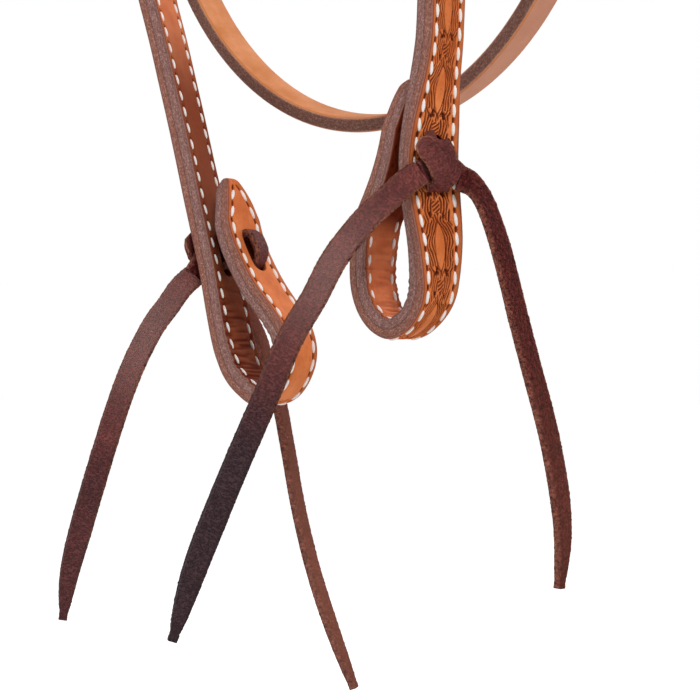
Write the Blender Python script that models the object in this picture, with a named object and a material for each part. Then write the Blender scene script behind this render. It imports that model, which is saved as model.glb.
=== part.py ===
"""A western browband headstall with doubled cheeks and laced bit loops.

Metres, +Z up. The origin is under the middle of the crown, where the bridle hangs.
The horse would face -Y. Near is its left side, +X, and off is its right side, -X.
"""
import math

import bmesh
import bpy
from mathutils import Matrix, Vector
from mathutils.geometry import interpolate_bezier

# Fits
CLEARANCE = 0.0003
BAR_CLEARANCE = 0.0005
SLIDING_CLEARANCE = 0.0006
CUT_OVERRUN = 0.002

# Head that the bridle is shaped for, to the middle of the leather
HEAD_HALF_WIDTH = 0.088

# Crown: two plies over the poll, with the billets sewn in at each end
CROWN_RISE = 0.090
CROWN_DROP = 0.150
CROWN_FLAT = 0.012
CROWN_OUTER_THICKNESS = 0.0028
CROWN_LINING_THICKNESS = 0.0024
CROWN_EDGE = 0.0016
BILLET_SPACING = 0.0060

# Browband
BROWBAND_WIDTH = 0.0190
BROWBAND_DEPTH = 0.118
BROWBAND_REACH = 0.125
BROWBAND_FACE_THICKNESS = 0.0026
BROWBAND_LINING_THICKNESS = 0.0022
BROWBAND_LOOP_THICKNESS = 0.0024

# Cheek straps, doubled and stitched
CHEEK_WIDTH = 0.0159
FACE_THICKNESS = 0.0031
LINING_THICKNESS = 0.0027
TURN_BACK = 0.028
STRAIGHT_BELOW_TIP = 0.006
CHEEK_LEAN_NEAR = math.radians(12.0)
CHEEK_LEAN_OFF = math.radians(6.3)

# Bit loops: the strap folds back on itself and its tab is tied to it
BIT_DEPTH_NEAR = 0.4222
BIT_DEPTH_OFF = 0.4421
BIT_SPREAD_NEAR = 0.0485
BIT_SPREAD_OFF = 0.0355
LOOP_WIDTH = 0.0223
TAB_REACH = 0.0706
LOOP_TWIST = math.radians(26.0)
TAB_POINT = 0.015
TIE_HEIGHT_NEAR = 0.0462
TIE_HEIGHT_OFF = 0.0438
SLOT_LENGTH = 0.0155
SLOT_WIDTH = 0.0056

# Billets
BILLET_THICKNESS = 0.0034
BILLET_LENGTH = 0.118
BILLET_POINT = 0.012
FIRST_HOLE = 0.039
HOLE_PITCH = 0.019
HOLE_COUNT = 4
HOLE_LENGTH = 0.0085
HOLE_WIDTH = 0.0036

# Cheek buckles
BUCKLE_WIRE = 0.0035
BUCKLE_LENGTH = 0.022
BUCKLE_SIDE_ROOM = 0.0006
BUCKLE_CORNER = 0.0030
BUCKLE_LIFT = 0.0086
TONGUE_WIRE = 0.0026
KEEPER_WIDTH = 0.0085
KEEPER_THICKNESS = 0.0017
KEEPER_CORNER = 0.0006
FIXED_KEEPER_BELOW_BAR = 0.018
SLIDING_KEEPER_BELOW_BAR = 0.040

# Throatlatch
THROAT_WIDTH = 0.0127
THROAT_THICKNESS = 0.0048
THROAT_SKIVED = 0.0026
THROAT_LEAN = math.radians(4.8)
THROAT_BOTTOM = 0.3565
THROAT_FLARE = math.radians(1.6)
THROAT_BILLET_BELOW_BAR = 0.0398
THROAT_TIP_BELOW_KEEPER = 0.0030
THROAT_TOP_DROP = 0.0006

# Ties: one flat lace each, through both plies and the tab, knotted on the outside
LACE_WIDTH = 0.0076
LACE_THICKNESS = 0.0022
LACE_IN_SLOT = 0.0044
LACE_ARCH = 0.0040
KNOT_WIDTH = 0.0120
KNOT_HEIGHT = 0.0145
KNOT_DEPTH = 0.0068

# How far below the knot's own middle each tail leaves it, as turns about the knot
NEAR_FRONT_EXIT = math.radians(15.0)
NEAR_REAR_EXIT = math.radians(25.0)
OFF_FRONT_EXIT = math.radians(40.0)
OFF_REAR_EXIT = math.radians(25.0)

# Shape of each cheek from above the tab, round the bit loop, to the tab's tip.
# Each row: outward by loop widths, up by tab reaches, twist by the loop's twist.
NEAR_SHARES = (
    (0.13, 1.33, 0.06), (0.10, 1.17, 0.06), (0.03, 1.01, 0.24), (-0.03, 0.85, 0.68),
    (-0.07, 0.69, 0.92), (-0.03, 0.52, 0.96), (0.03, 0.36, 0.69), (0.02, 0.20, 0.27),
    (-0.05, 0.11, 0.05), (-0.25, 0.035, -0.19), (-0.52, 0.0, -0.19), (-0.77, 0.045, -0.15),
    (-0.91, 0.12, -0.04), (-0.97, 0.20, -0.04), (-0.97, 0.28, 0.0), (-0.94, 0.37, 0.04),
    (-0.89, 0.45, 0.08), (-0.77, 0.53, 0.15), (-0.63, 0.61, 0.23), (-0.51, 0.69, 0.38),
    (-0.41, 0.77, 0.55), (-0.34, 0.85, 0.60), (-0.30, 0.93, 0.55), (-0.25, 1.01, 0.50),
)
OFF_SHARES = (
    (1.16, 1.78, 0.54), (0.96, 1.595, 0.54), (0.78, 1.41, 0.54), (0.60, 1.225, 0.54),
    (0.43, 1.04, 0.54), (0.26, 0.86, 0.46), (0.10, 0.70, 0.38), (-0.05, 0.545, 0.31),
    (-0.17, 0.39, 0.23), (-0.29, 0.24, 0.23), (-0.39, 0.155, 0.27), (-0.55, 0.075, 0.31),
    (-0.89, 0.0, 0.38), (-1.18, 0.023, 0.38), (-1.37, 0.10, 0.31), (-1.43, 0.183, 0.23),
    (-1.34, 0.273, 0.15), (-1.12, 0.363, 0.08), (-0.90, 0.44, 0.0), (-0.67, 0.54, 0.0),
    (-0.47, 0.65, 0.0), (-0.36, 0.746, 0.0), (-0.29, 0.83, 0.0), (-0.20, 0.90, 0.0),
    (-0.12, 0.95, 0.0),
)

# Widths of a billet's rounded top and of its pointed end, as shares of its own width
BILLET_TOP_SHARES = ((25, 0.30), (60, 0.70))
POINTED_END_SHARES = ((0.0, 1.0), (0.45, 0.80), (0.85, 0.40), (1.0, 0.14))

# Routes of the free tails, as offsets from where each leaves its knot: x, y, z
NEAR_FRONT_ROUTE = (
    (0.0, 0.0, 0.0), (-0.0024, -0.0042, -0.0032), (-0.0046, -0.0088, -0.0076),
    (-0.0085, -0.0145, -0.0138), (-0.0138, -0.0217, -0.0249), (-0.0186, -0.0250, -0.0359),
    (-0.0238, -0.0292, -0.0474), (-0.0292, -0.0336, -0.0639), (-0.0349, -0.0383, -0.0809),
    (-0.0404, -0.0427, -0.0979), (-0.0460, -0.0458, -0.1144), (-0.0512, -0.0485, -0.1329),
)
NEAR_REAR_ROUTE = (
    (0.0, 0.0, 0.0), (0.0028, 0.0026, -0.0022), (0.0060, 0.0040, -0.0072),
    (0.0098, 0.0048, -0.0170), (0.0123, 0.0067, -0.0285), (0.0145, 0.0084, -0.0400),
    (0.0180, 0.0114, -0.0575), (0.0209, 0.0149, -0.0745), (0.0228, 0.0176, -0.0920),
    (0.0230, 0.0189, -0.1050), (0.0217, 0.0190, -0.1185),
)
OFF_FRONT_ROUTE = (
    (0.0, 0.0, 0.0), (-0.0022, -0.0040, -0.0042), (-0.0058, -0.0050, -0.0090),
    (-0.0122, -0.0056, -0.0158), (-0.0182, -0.0083, -0.0279), (-0.0230, -0.0105, -0.0409),
    (-0.0281, -0.0138, -0.0599), (-0.0334, -0.0165, -0.0794), (-0.0375, -0.0182, -0.0954),
    (-0.0395, -0.0191, -0.1100),
)
OFF_REAR_ROUTE = (
    (0.0, 0.0, 0.0), (0.0009, 0.0052, -0.0040), (0.0028, 0.0104, -0.0100),
    (0.0058, 0.0159, -0.0212), (0.0076, 0.0185, -0.0317), (0.0101, 0.0202, -0.0402),
    (0.0122, 0.0224, -0.0562), (0.0151, 0.0243, -0.0757), (0.0186, 0.0273, -0.0952),
    (0.0235, 0.0311, -0.1147), (0.0292, 0.0360, -0.1350),
)
TAIL_FACING = math.radians(38.6)
TURNED_TAIL_FACING = math.radians(88.0)
EDGEWISE_TAIL_FACING = math.radians(108.0)

crown_width = CHEEK_WIDTH + THROAT_WIDTH + BILLET_SPACING + 2 * CROWN_EDGE
crown_stack = CROWN_OUTER_THICKNESS + CROWN_LINING_THICKNESS + CLEARANCE
cheek_y = CROWN_EDGE + CHEEK_WIDTH / 2 - crown_width / 2
throat_y = crown_width / 2 - CROWN_EDGE - THROAT_WIDTH / 2
flex_z = -(CROWN_DROP + CLEARANCE + BILLET_THICKNESS / 2)
throat_z = flex_z - THROAT_TOP_DROP
buckle_radius = BUCKLE_WIRE / 2
tongue_radius = TONGUE_WIRE / 2
cheek_stack_half = CLEARANCE / 2 + FACE_THICKNESS
near_bar = FIRST_HOLE + HOLE_LENGTH / 2
off_bar = near_bar + HOLE_PITCH
throat_bar = off_bar
throat_billet_length = throat_bar + THROAT_BILLET_BELOW_BAR
throat_turn_back = THROAT_BILLET_BELOW_BAR - THROAT_TIP_BELOW_KEEPER - 3 * KEEPER_WIDTH / 2
ALONG_Y = Vector((0, 1, 0))
DOWNWARD = Vector((0, 0, -1))


def clear_scene():
    for old in list(bpy.data.objects):
        bpy.data.objects.remove(old, do_unlink=True)


def finish(name, colour, roughness, metallic):
    material = bpy.data.materials.new(name)
    material.use_nodes = True
    shader = material.node_tree.nodes["Principled BSDF"]
    shader.inputs["Base Color"].default_value = (*colour, 1)
    shader.inputs["Roughness"].default_value = roughness
    shader.inputs["Metallic"].default_value = metallic
    return material


def add_object(name, mesh, material):
    piece = bpy.data.objects.new(name, mesh)
    mesh.materials.append(material)
    bpy.context.collection.objects.link(piece)
    return piece


def add_mesh(name, bm, material):
    bmesh.ops.recalc_face_normals(bm, faces=bm.faces)
    mesh = bpy.data.meshes.new(name)
    bm.to_mesh(mesh)
    bm.free()
    return add_object(name, mesh, material)


def cut(piece, cutter):
    """Take the cutter's shape out of the piece."""
    boolean = piece.modifiers.new("Cut " + cutter.name, "BOOLEAN")
    boolean.operation = "DIFFERENCE"
    boolean.solver = "EXACT"
    boolean.object = cutter
    hide_guide(cutter)


def hide_guide(guide):
    guide.hide_render = True
    guide.display_type = "WIRE"


def set_origin(piece, place):
    """Put the piece's origin on its joint's axis, with the piece left where it is."""
    piece.data.transform(Matrix.Translation(-place))
    piece.location = place


def smooth(rows, steps):
    """Points on a smooth curve through the rows, which are tuples of any length."""
    padded = [rows[0]] + list(rows) + [rows[-1]]
    result = []
    for first, start, end, last in zip(padded, padded[1:], padded[2:], padded[3:]):
        for step in range(steps):
            t = step / steps
            result.append(tuple(
                0.5 * (2 * b + (c - a) * t + (2 * a - 5 * b + 4 * c - d) * t**2
                       + (3 * b - a - 3 * c + d) * t**3)
                for a, b, c, d in zip(first, start, end, last)))
    result.append(tuple(rows[-1]))
    return result


def tangents(points, closed=False):
    count = len(points)
    result = []
    for index in range(count):
        before = points[index - 1] if closed or index else points[0]
        after = points[(index + 1) % count] if closed or index < count - 1 else points[-1]
        result.append((after - before).normalized())
    return result


def frames(points, acrosses, closed=False):
    """The strap's own directions at each point: across it, and out of its face."""
    result = []
    for along, across in zip(tangents(points, closed), acrosses):
        out = along.cross(across).normalized()
        result.append((out.cross(along).normalized(), out))
    return result


def strap(name, points, directions, widths, thicknesses, material, closed=False, plied=False):
    """A flat strap: one section, extruded from point to point of its middle line.

    Where a strap is one of two plies and twists, both plies fold along the same diagonals,
    so they stay parallel.
    """
    rings = []
    for point, (across, out), width, thickness in zip(points, directions, widths, thicknesses):
        side = across * width / 2
        lift = out * thickness / 2
        rings.append((point - side - lift, point + side - lift,
                      point + side + lift, point - side + lift))
    bm = bmesh.new()
    first = bm.faces.new([bm.verts.new(corner) for corner in rings[0]])
    end = first
    for ring in rings[1:]:
        inner = end
        start = inner.verts[:]
        grown = bmesh.ops.extrude_face_region(bm, geom=[inner])
        end = next(item for item in grown["geom"] if isinstance(item, bmesh.types.BMFace))
        for vertex, corner in zip(end.verts, ring):
            vertex.co = corner
        if inner is not first:
            bmesh.ops.delete(bm, geom=[inner], context="FACES_ONLY")
        if plied:
            far = end.verts[:]
            bmesh.ops.connect_verts(bm, verts=[start[0], far[1]])
            bmesh.ops.connect_verts(bm, verts=[start[3], far[2]])
    if closed:
        edges = list(first.edges) + list(end.edges)
        bmesh.ops.delete(bm, geom=[first, end], context="FACES_ONLY")
        bmesh.ops.bridge_loops(bm, edges=edges)
    return add_mesh(name, bm, material)


def even(value, points):
    return [value] * len(points)


def wire(name, points, radius, sides_resolution, material, closed=False):
    """A round wire bent through the points."""
    curve = bpy.data.curves.new(name, "CURVE")
    curve.dimensions = "3D"
    curve.bevel_depth = radius
    curve.bevel_resolution = sides_resolution
    curve.use_fill_caps = True
    spline = curve.splines.new("POLY")
    spline.points.add(len(points) - 1)
    for knot, point in zip(spline.points, points):
        knot.co = (*point, 1)
    spline.use_cyclic_u = closed
    return add_object(name, curve, material)


def rounded_outline(half_a, half_b, corner, steps):
    """Corners of a rounded rectangle, as pairs."""
    outline = []
    for quarter, (sign_a, sign_b) in enumerate(((1, 1), (-1, 1), (-1, -1), (1, -1))):
        for step in range(steps + 1):
            angle = math.radians(90) * (quarter + step / steps)
            outline.append((sign_a * (half_a - corner) + corner * math.cos(angle),
                            sign_b * (half_b - corner) + corner * math.sin(angle)))
    return outline


def band(name, centre, axis_a, axis_b, along, half_a, half_b, thickness, width, corner, material):
    """A closed leather band: a ring between two rounded outlines, extruded to its width."""
    start = centre - along * width / 2
    bm = bmesh.new()
    loops = []
    for grow in (0, thickness):
        outline = rounded_outline(half_a + grow, half_b + grow, corner + grow, 3)
        verts = [bm.verts.new(start + axis_a * a + axis_b * b) for a, b in outline]
        loops += [bm.edges.new((verts[i - 1], verts[i])) for i in range(len(verts))]
    bmesh.ops.bridge_loops(bm, edges=loops)
    grown = bmesh.ops.extrude_face_region(bm, geom=list(bm.faces))
    moved = [item for item in grown["geom"] if isinstance(item, bmesh.types.BMVert)]
    bmesh.ops.translate(bm, verts=moved, vec=along * width)
    return add_mesh(name, bm, material)


def oblong(name, centre, along, across, out, length, width, depth, material):
    """A cutter: an oblong outline with round ends, extruded both ways from its centre."""
    outline = rounded_outline(length / 2, width / 2, width / 2, 4)
    bm = bmesh.new()
    base = centre - out * depth / 2
    face = bm.faces.new([bm.verts.new(base + along * a + across * b) for a, b in outline])
    bmesh.ops.remove_doubles(bm, verts=bm.verts, dist=CLEARANCE / 10)
    face = next(iter(bm.faces))
    grown = bmesh.ops.extrude_face_region(bm, geom=[face])
    moved = [item for item in grown["geom"] if isinstance(item, bmesh.types.BMVert)]
    bmesh.ops.translate(bm, verts=moved, vec=out * depth)
    return add_mesh(name, bm, material)


class Hang:
    """A billet's own directions: down along it, and outward from the head."""

    def __init__(self, side, lean, y, z, tilt):
        turn = Matrix.Rotation(tilt, 3, "X")
        self.side = side
        self.start = Vector((side * HEAD_HALF_WIDTH, y, z))
        self.down = turn @ Vector((-side * math.sin(lean), 0, -math.cos(lean)))
        self.out = turn @ Vector((side * math.cos(lean), 0, -math.sin(lean)))
        self.across = turn @ ALONG_Y

    def at(self, down, out, across=0.0):
        return self.start + self.down * down + self.out * out + self.across * across


def make_crown(materials):
    """Two plies that arch over the poll and end flat, square to the billets."""
    half = HEAD_HALF_WIDTH - crown_stack / 2
    flat = CROWN_FLAT / 2
    arch = [Vector((flat, 0, 0))]
    for step in range(1, 10):
        angle = math.radians(10 * step)
        arch.append(Vector((flat + (half - flat) * math.sin(angle), 0,
                            CROWN_RISE * (math.cos(angle) - 1))))
    arch.append(Vector((half, 0, -CROWN_DROP)))
    under = [Vector((-point.x, 0, point.z)) for point in reversed(arch)] + arch
    directions = frames(under, even(ALONG_Y, under))
    directions[0] = (ALONG_Y, Vector((-1, 0, 0)))
    directions[-1] = (ALONG_Y, Vector((1, 0, 0)))
    for name, lift, thickness, material in (
            ("crown_lining", 0, CROWN_LINING_THICKNESS, materials["lining"]),
            ("crown_outer", CROWN_LINING_THICKNESS + CLEARANCE, CROWN_OUTER_THICKNESS,
             materials["face"])):
        middle = [point + out * (lift + thickness / 2)
                  for point, (_, out) in zip(under, directions)]
        strap(name, middle, directions, even(crown_width, middle), even(thickness, middle),
              material)


def make_browband(materials):
    """Two plies in a bow across the brow, and a loop round each side of the crown."""
    z = -BROWBAND_DEPTH
    loop_a = crown_stack / 2 + SLIDING_CLEARANCE
    loop_b = crown_width / 2 + SLIDING_CLEARANCE
    for side, end in ((1, "near"), (-1, "off")):
        band("browband_loop_" + end, Vector((side * HEAD_HALF_WIDTH, 0, z)), Vector((1, 0, 0)),
             ALONG_Y, Vector((0, 0, 1)), loop_a, loop_b, BROWBAND_LOOP_THICKNESS, BROWBAND_WIDTH,
             KEEPER_CORNER, materials["face"])
    front = -(loop_b + BROWBAND_LOOP_THICKNESS + CLEARANCE)
    stack = BROWBAND_FACE_THICKNESS + BROWBAND_LINING_THICKNESS + CLEARANCE
    steps = 28
    for name, lift, thickness, material in (
            ("browband_lining", -(stack - BROWBAND_LINING_THICKNESS) / 2,
             BROWBAND_LINING_THICKNESS, materials["lining"]),
            ("browband_face", (stack - BROWBAND_FACE_THICKNESS) / 2,
             BROWBAND_FACE_THICKNESS, materials["face"])):
        bow = []
        for step in range(steps + 1):
            angle = math.radians(180) * step / steps
            bow.append(Vector((HEAD_HALF_WIDTH * math.cos(angle),
                               front - BROWBAND_REACH * math.sin(angle), z)))
        directions = frames(bow, even(DOWNWARD, bow))
        directions[0] = (DOWNWARD, Vector((1, 0, 0)))
        directions[-1] = (DOWNWARD, Vector((-1, 0, 0)))
        middle = [point + out * lift for point, (_, out) in zip(bow, directions)]
        strap(name, middle, directions, even(BROWBAND_WIDTH, middle), even(thickness, middle),
              material)


def ease(share):
    share = min(max(share, 0), 1)
    return share * share * (3 - 2 * share)


def billet_rows(bar, length, under_bar, over_wrap, flat):
    """Down and out along a billet that runs under the buckle's bar and over the turned strap."""
    begin = bar - 0.6 * BUCKLE_LENGTH
    climb = 0.45 * BUCKLE_LENGTH
    top = bar + BUCKLE_WIRE / 2
    settle = 3 * BUCKLE_WIRE
    steps = 10
    downs = [0.0] + [begin + (top + settle - begin) * step / steps for step in range(steps + 1)]
    downs.append(length - BILLET_POINT)
    return [(down, under_bar + (over_wrap - under_bar) * ease((down - begin) / climb)
             - (over_wrap - flat) * ease((down - top) / settle)) for down in downs]


def make_billet(name, hang, rows, length, width, thickness, holes, material):
    """A billet: round about its flex line, pointed at its end, with a row of holes."""
    half = thickness / 2
    places = []
    for angle, narrow in BILLET_TOP_SHARES:
        turn = math.radians(angle)
        places.append((-half * math.cos(turn), rows[0][1], width * narrow,
                       thickness * math.sin(turn)))
    places += [(down, out, width, thickness) for down, out in rows]
    for share, narrow in POINTED_END_SHARES[1:]:
        down = length - BILLET_POINT * (1 - share)
        places.append((down, rows[-1][1], width * narrow, thickness))
    points = [hang.at(down, out) for down, out, _, _ in places]
    piece = strap(name, points, frames(points, even(hang.across, points)),
                  [row[2] for row in places], [row[3] for row in places], material)
    for index in range(holes):
        down = FIRST_HOLE + index * HOLE_PITCH
        out = out_at(places, down)
        cut(piece, oblong(f"{name}_hole_{index}", hang.at(down, out), hang.down, hang.across,
                          hang.out, HOLE_LENGTH, HOLE_WIDTH, 2 * thickness + 2 * CUT_OVERRUN,
                          material))
    return piece


def out_at(places, down):
    """How far out a billet lies at one place along it."""
    for first, second in zip(places, places[1:]):
        if first[0] <= down <= second[0] and second[0] > first[0]:
            share = (down - first[0]) / (second[0] - first[0])
            return first[1] + share * (second[1] - first[1])
    return places[-1][1]


def make_buckle(name, hang, bar, half, length, lift, radius, material):
    """A bent wire frame: the heel bar is at the strap, the far bar stands out over the billet."""
    outline = rounded_outline(length / 2, half, BUCKLE_CORNER, 3)
    points = []
    for a, b in outline:
        down = bar - length / 2 + a
        points.append(hang.at(down, lift * (bar - down) / length, b))
    return wire(name, points, radius, 2, material, closed=True)


def make_tongue(name, hang, bar, length, lift, radius, bar_radius, over, material):
    """A wire tongue: an eye round the heel bar, up through the billet and along to the far bar."""
    eye = bar_radius + BAR_CLEARANCE + radius
    rest = lift + bar_radius + CLEARANCE + radius
    points = []
    for step in range(11):
        angle = math.radians(27) * (step - 10)
        points.append(hang.at(bar - eye * math.cos(angle), eye * math.sin(angle)))
    climb = over + radius
    corner = climb + (rest - climb) / 2
    for down, out in smooth([(-eye, climb / 2), (-eye - radius / 4, climb),
                             (-eye - 2 * radius, corner), (-length / 2, rest),
                             (-length - radius, rest)], 2):
        points.append(hang.at(bar + down, max(out, 0)))
    piece = wire(name, points, radius, 1, material)
    set_origin(piece, hang.at(bar, 0))
    return piece


def keeper(name, hang, down, half_across, inner, outer, room, material):
    """A closed keeper round the strap and its billet."""
    middle = (inner + outer) / 2
    return band(name, hang.at(down, middle), hang.out, hang.across, hang.down,
                (outer - inner) / 2 + room, half_across + room, KEEPER_THICKNESS, KEEPER_WIDTH,
                KEEPER_CORNER, material)


def wrap_rows(bar, turn_back, leg, wrap):
    """Down and out along strap leather that turns round the heel bar, inner leg first."""
    rows = [(bar + turn_back, -leg), (bar + 0.6 * turn_back, -leg), (bar + 2.6 * wrap, -leg)]
    for step in range(9):
        angle = math.radians(60 + 30 * step)
        rows.append((bar + wrap * math.cos(angle), -wrap * math.sin(angle)))
    rows.append((bar + 2.6 * wrap, leg))
    return rows


def cheek_line(hang, bar, spread, depth, shares):
    """Points, across directions and tab widths along the middle of one cheek."""
    end = BILLET_LENGTH + STRAIGHT_BELOW_TIP
    rows = []
    for across, up, twist in smooth(shares, 2):
        rows.append((Vector((hang.side * (spread + across * LOOP_WIDTH), cheek_y,
                             up * TAB_REACH - depth)), twist * LOOP_TWIST))
    start = hang.at(end, 0)
    first, second = rows[0][0], rows[1][0]
    reach = (first - start).length * 0.4
    bend = interpolate_bezier(start, start + hang.down * reach,
                              first - (second - first).normalized() * reach, first, 6)
    points = [hang.at(bar + TURN_BACK + (end - bar - TURN_BACK) * step / 4, 0)
              for step in range(4)]
    twists = [0.0] * len(points)
    for step, point in enumerate(bend[:-1]):
        points.append(point)
        twists.append(rows[0][1] * step / (len(bend) - 1))
    points += [point for point, _ in rows]
    twists += [twist for _, twist in rows]
    acrosses = [Vector((hang.side * math.sin(twist), math.cos(twist), 0)) for twist in twists]
    return points, acrosses


def end_shares(points, length):
    """Shares of the strap's last stretch: 0 at its tip, 1 from the stretch's start back."""
    left = 0.0
    result = [0.0] * len(points)
    for index in range(len(points) - 2, -1, -1):
        left += (points[index + 1] - points[index]).length
        result[index] = min(left / length, 1.0)
    return result


def end_widths(points, width, rounding):
    """Widths that round off the strap's last stretch."""
    return [width * max(math.sqrt(1 - (1 - share) ** 2), 0.2)
            for share in end_shares(points, rounding)]


def tip_widths(points):
    """Widths of a ply that draws in to the blunt point of the tab."""
    return [CHEEK_WIDTH * max(share ** 0.6, 0.16) for share in end_shares(points, TAB_POINT)]


def place_at_height(points, acrosses, height, last):
    """Place and directions where the strap passes a height, on its way down or on its way up."""
    order = range(len(points) - 2, -1, -1) if last else range(len(points) - 1)
    lows = tangents(points)
    for index in order:
        low, high = sorted((points[index].z, points[index + 1].z))
        if low <= height <= high:
            share = (height - points[index].z) / (points[index + 1].z - points[index].z)
            point = points[index].lerp(points[index + 1], share)
            along = lows[index].lerp(lows[index + 1], share).normalized()
            across = acrosses[index].lerp(acrosses[index + 1], share).normalized()
            return point, along, across, along.cross(across).normalized()
    return points[-1], lows[-1], acrosses[-1], lows[-1].cross(acrosses[-1])


def make_cheek(end, side, lean, spread, depth, shares, bar, tie, materials):
    """One cheek: billet, buckle, tongue, keepers, two plies, and the tie at its bit loop."""
    hang = Hang(side, lean, cheek_y, flex_z, 0)
    leg = CLEARANCE / 2 + FACE_THICKNESS / 2
    wrap = buckle_radius + BAR_CLEARANCE + FACE_THICKNESS / 2
    billet_half = BILLET_THICKNESS / 2
    under_bar = BUCKLE_LIFT - buckle_radius - CLEARANCE - billet_half
    over_wrap = wrap + FACE_THICKNESS / 2 + CLEARANCE + billet_half
    flat = cheek_stack_half + CLEARANCE + billet_half
    # everything below the flex line is set in so that the billet hangs straight under the crown
    inset = -under_bar
    rows = billet_rows(bar, BILLET_LENGTH, under_bar + inset, over_wrap + inset, flat + inset)
    make_billet("cheek_billet_" + end, hang, rows, BILLET_LENGTH, CHEEK_WIDTH, BILLET_THICKNESS,
                HOLE_COUNT, materials["billet"])
    hang.start = hang.at(0, inset)
    half = CHEEK_WIDTH / 2 + BUCKLE_SIDE_ROOM + buckle_radius
    make_buckle("cheek_buckle_" + end, hang, bar, half, BUCKLE_LENGTH, BUCKLE_LIFT,
                buckle_radius, materials["steel"])
    make_tongue("cheek_tongue_" + end, hang, bar, BUCKLE_LENGTH, BUCKLE_LIFT, tongue_radius,
                buckle_radius, over_wrap, materials["steel"])
    outer = flat + billet_half
    keeper("fixed_keeper_" + end, hang, bar + FIXED_KEEPER_BELOW_BAR, CHEEK_WIDTH / 2,
           -cheek_stack_half, outer, CLEARANCE, materials["billet"])
    slider = keeper("sliding_keeper_" + end, hang, bar + SLIDING_KEEPER_BELOW_BAR,
                    CHEEK_WIDTH / 2, -cheek_stack_half, outer, SLIDING_CLEARANCE,
                    materials["billet"])
    set_origin(slider, hang.at(bar + SLIDING_KEEPER_BELOW_BAR, 0))
    points, acrosses = cheek_line(hang, bar, spread, depth, shares)
    make_plies(end, hang, bar, leg, wrap, points, acrosses, tie, materials)
    return points, acrosses


def make_plies(end, hang, bar, leg, wrap, points, acrosses, tie, materials):
    """The tooled face, turned round the heel bar, and the lining behind it."""
    face_lift = hang.side * leg
    lining_lift = hang.side * (CLEARANCE + LINING_THICKNESS) / 2
    turned = [hang.at(down, out) for down, out in wrap_rows(bar, TURN_BACK, leg, wrap)]
    directions = frames(points, acrosses)
    lifted = [point + out * face_lift for point, (_, out) in zip(points, directions)]
    path = turned + lifted
    widths = even(CHEEK_WIDTH, turned) + tip_widths(points)
    face = strap("cheek_face_" + end, path, frames(turned, even(ALONG_Y, turned)) + directions,
                 widths, even(FACE_THICKNESS, path), materials["face"], plied=True)
    start = hang.at(bar + TURN_BACK + CLEARANCE, 0)
    core = [start] + points[1:]
    lined = [point - out * lining_lift for point, (_, out) in zip(core, directions)]
    lining = strap("cheek_lining_" + end, lined, directions,
                   tip_widths(points), even(LINING_THICKNESS, lined), materials["lining"],
                   plied=True)
    slot = oblong("tongue_slot_" + end, hang.at(bar, 0), hang.down, hang.across, hang.out,
                  3.6 * wrap, TONGUE_WIRE + 2 * BAR_CLEARANCE, 4 * wrap, materials["face"])
    cut(face, slot)
    height = lowest(points) + tie
    for place, last in (("strap", False), ("tab", True)):
        centre, along, across, out = place_at_height(points, acrosses, height, last)
        hole = oblong(f"{place}_slot_{end}", centre, along, across, out, SLOT_LENGTH, SLOT_WIDTH,
                      2 * cheek_stack_half + 2 * CUT_OVERRUN, materials["face"])
        cut(face, hole)
        cut(lining, hole)


def lowest(points):
    return min(point.z for point in points)


def make_tie(end, side, points, acrosses, tie, materials):
    """The lace: a knot outside, a bight through both slots, and two free tails."""
    height = lowest(points) + tie
    strap_at, strap_down, strap_across, strap_out = place_at_height(points, acrosses, height,
                                                                    False)
    tab_at, tab_up, tab_across, tab_out = place_at_height(points, acrosses, height, True)
    strap_out = strap_out * (1 if strap_out.x * side > 0 else -1)
    tab_in = tab_out * (-1 if tab_out.x * side > 0 else 1)
    room = math.sqrt((SLOT_WIDTH / 2 - CLEARANCE) ** 2 - (LACE_IN_SLOT / 2) ** 2)
    run = (SLOT_LENGTH - SLOT_WIDTH) / 2 + room - LACE_THICKNESS / 2 - CLEARANCE
    skin = cheek_stack_half + LACE_THICKNESS / 2
    rows = []
    turns = []
    for place, up, out in (
            (strap_at, -run, strap_out * (skin + LACE_THICKNESS)),
            (strap_at, -run, strap_out * -cheek_stack_half),
            (tab_at, -run, tab_in * -cheek_stack_half),
            (tab_at, -run * 0.92, tab_in * (skin + LACE_ARCH * 0.3)),
            (tab_at, -run * 0.5, tab_in * (skin + LACE_ARCH * 0.9)),
            (tab_at, 0, tab_in * (skin + LACE_ARCH)),
            (tab_at, run * 0.5, tab_in * (skin + LACE_ARCH * 0.9)),
            (tab_at, run * 0.92, tab_in * (skin + LACE_ARCH * 0.3)),
            (tab_at, run, tab_in * -cheek_stack_half),
            (strap_at, run, strap_out * -cheek_stack_half),
            (strap_at, run, strap_out * (skin + LACE_THICKNESS))):
        direction = tab_up if place is tab_at else -strap_down
        rows.append(place + direction * up + out)
        turns.append(tab_across if place is tab_at else strap_across)
    bight = strap("tie_" + end, rows, frames(rows, turns, True), even(LACE_IN_SLOT, rows),
                  even(LACE_THICKNESS, rows), materials["lace"], closed=True)
    knot_at = strap_at + strap_out * (cheek_stack_half + CLEARANCE + KNOT_DEPTH / 2)
    bm = bmesh.new()
    turn = Matrix((strap_out, strap_across, -strap_down)).transposed().to_4x4()
    bmesh.ops.create_icosphere(bm, subdivisions=3, radius=0.5)
    bmesh.ops.scale(bm, vec=(KNOT_DEPTH, KNOT_WIDTH, KNOT_HEIGHT), verts=bm.verts)
    bmesh.ops.transform(bm, matrix=Matrix.Translation(knot_at) @ turn, verts=bm.verts)
    lump = add_mesh("knot_lump_" + end, bm, materials["lace"])
    joined = bight.modifiers.new("Knot", "BOOLEAN")
    joined.operation = "UNION"
    joined.solver = "EXACT"
    joined.object = lump
    hide_guide(lump)
    return knot_at, strap_down, strap_across


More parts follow.
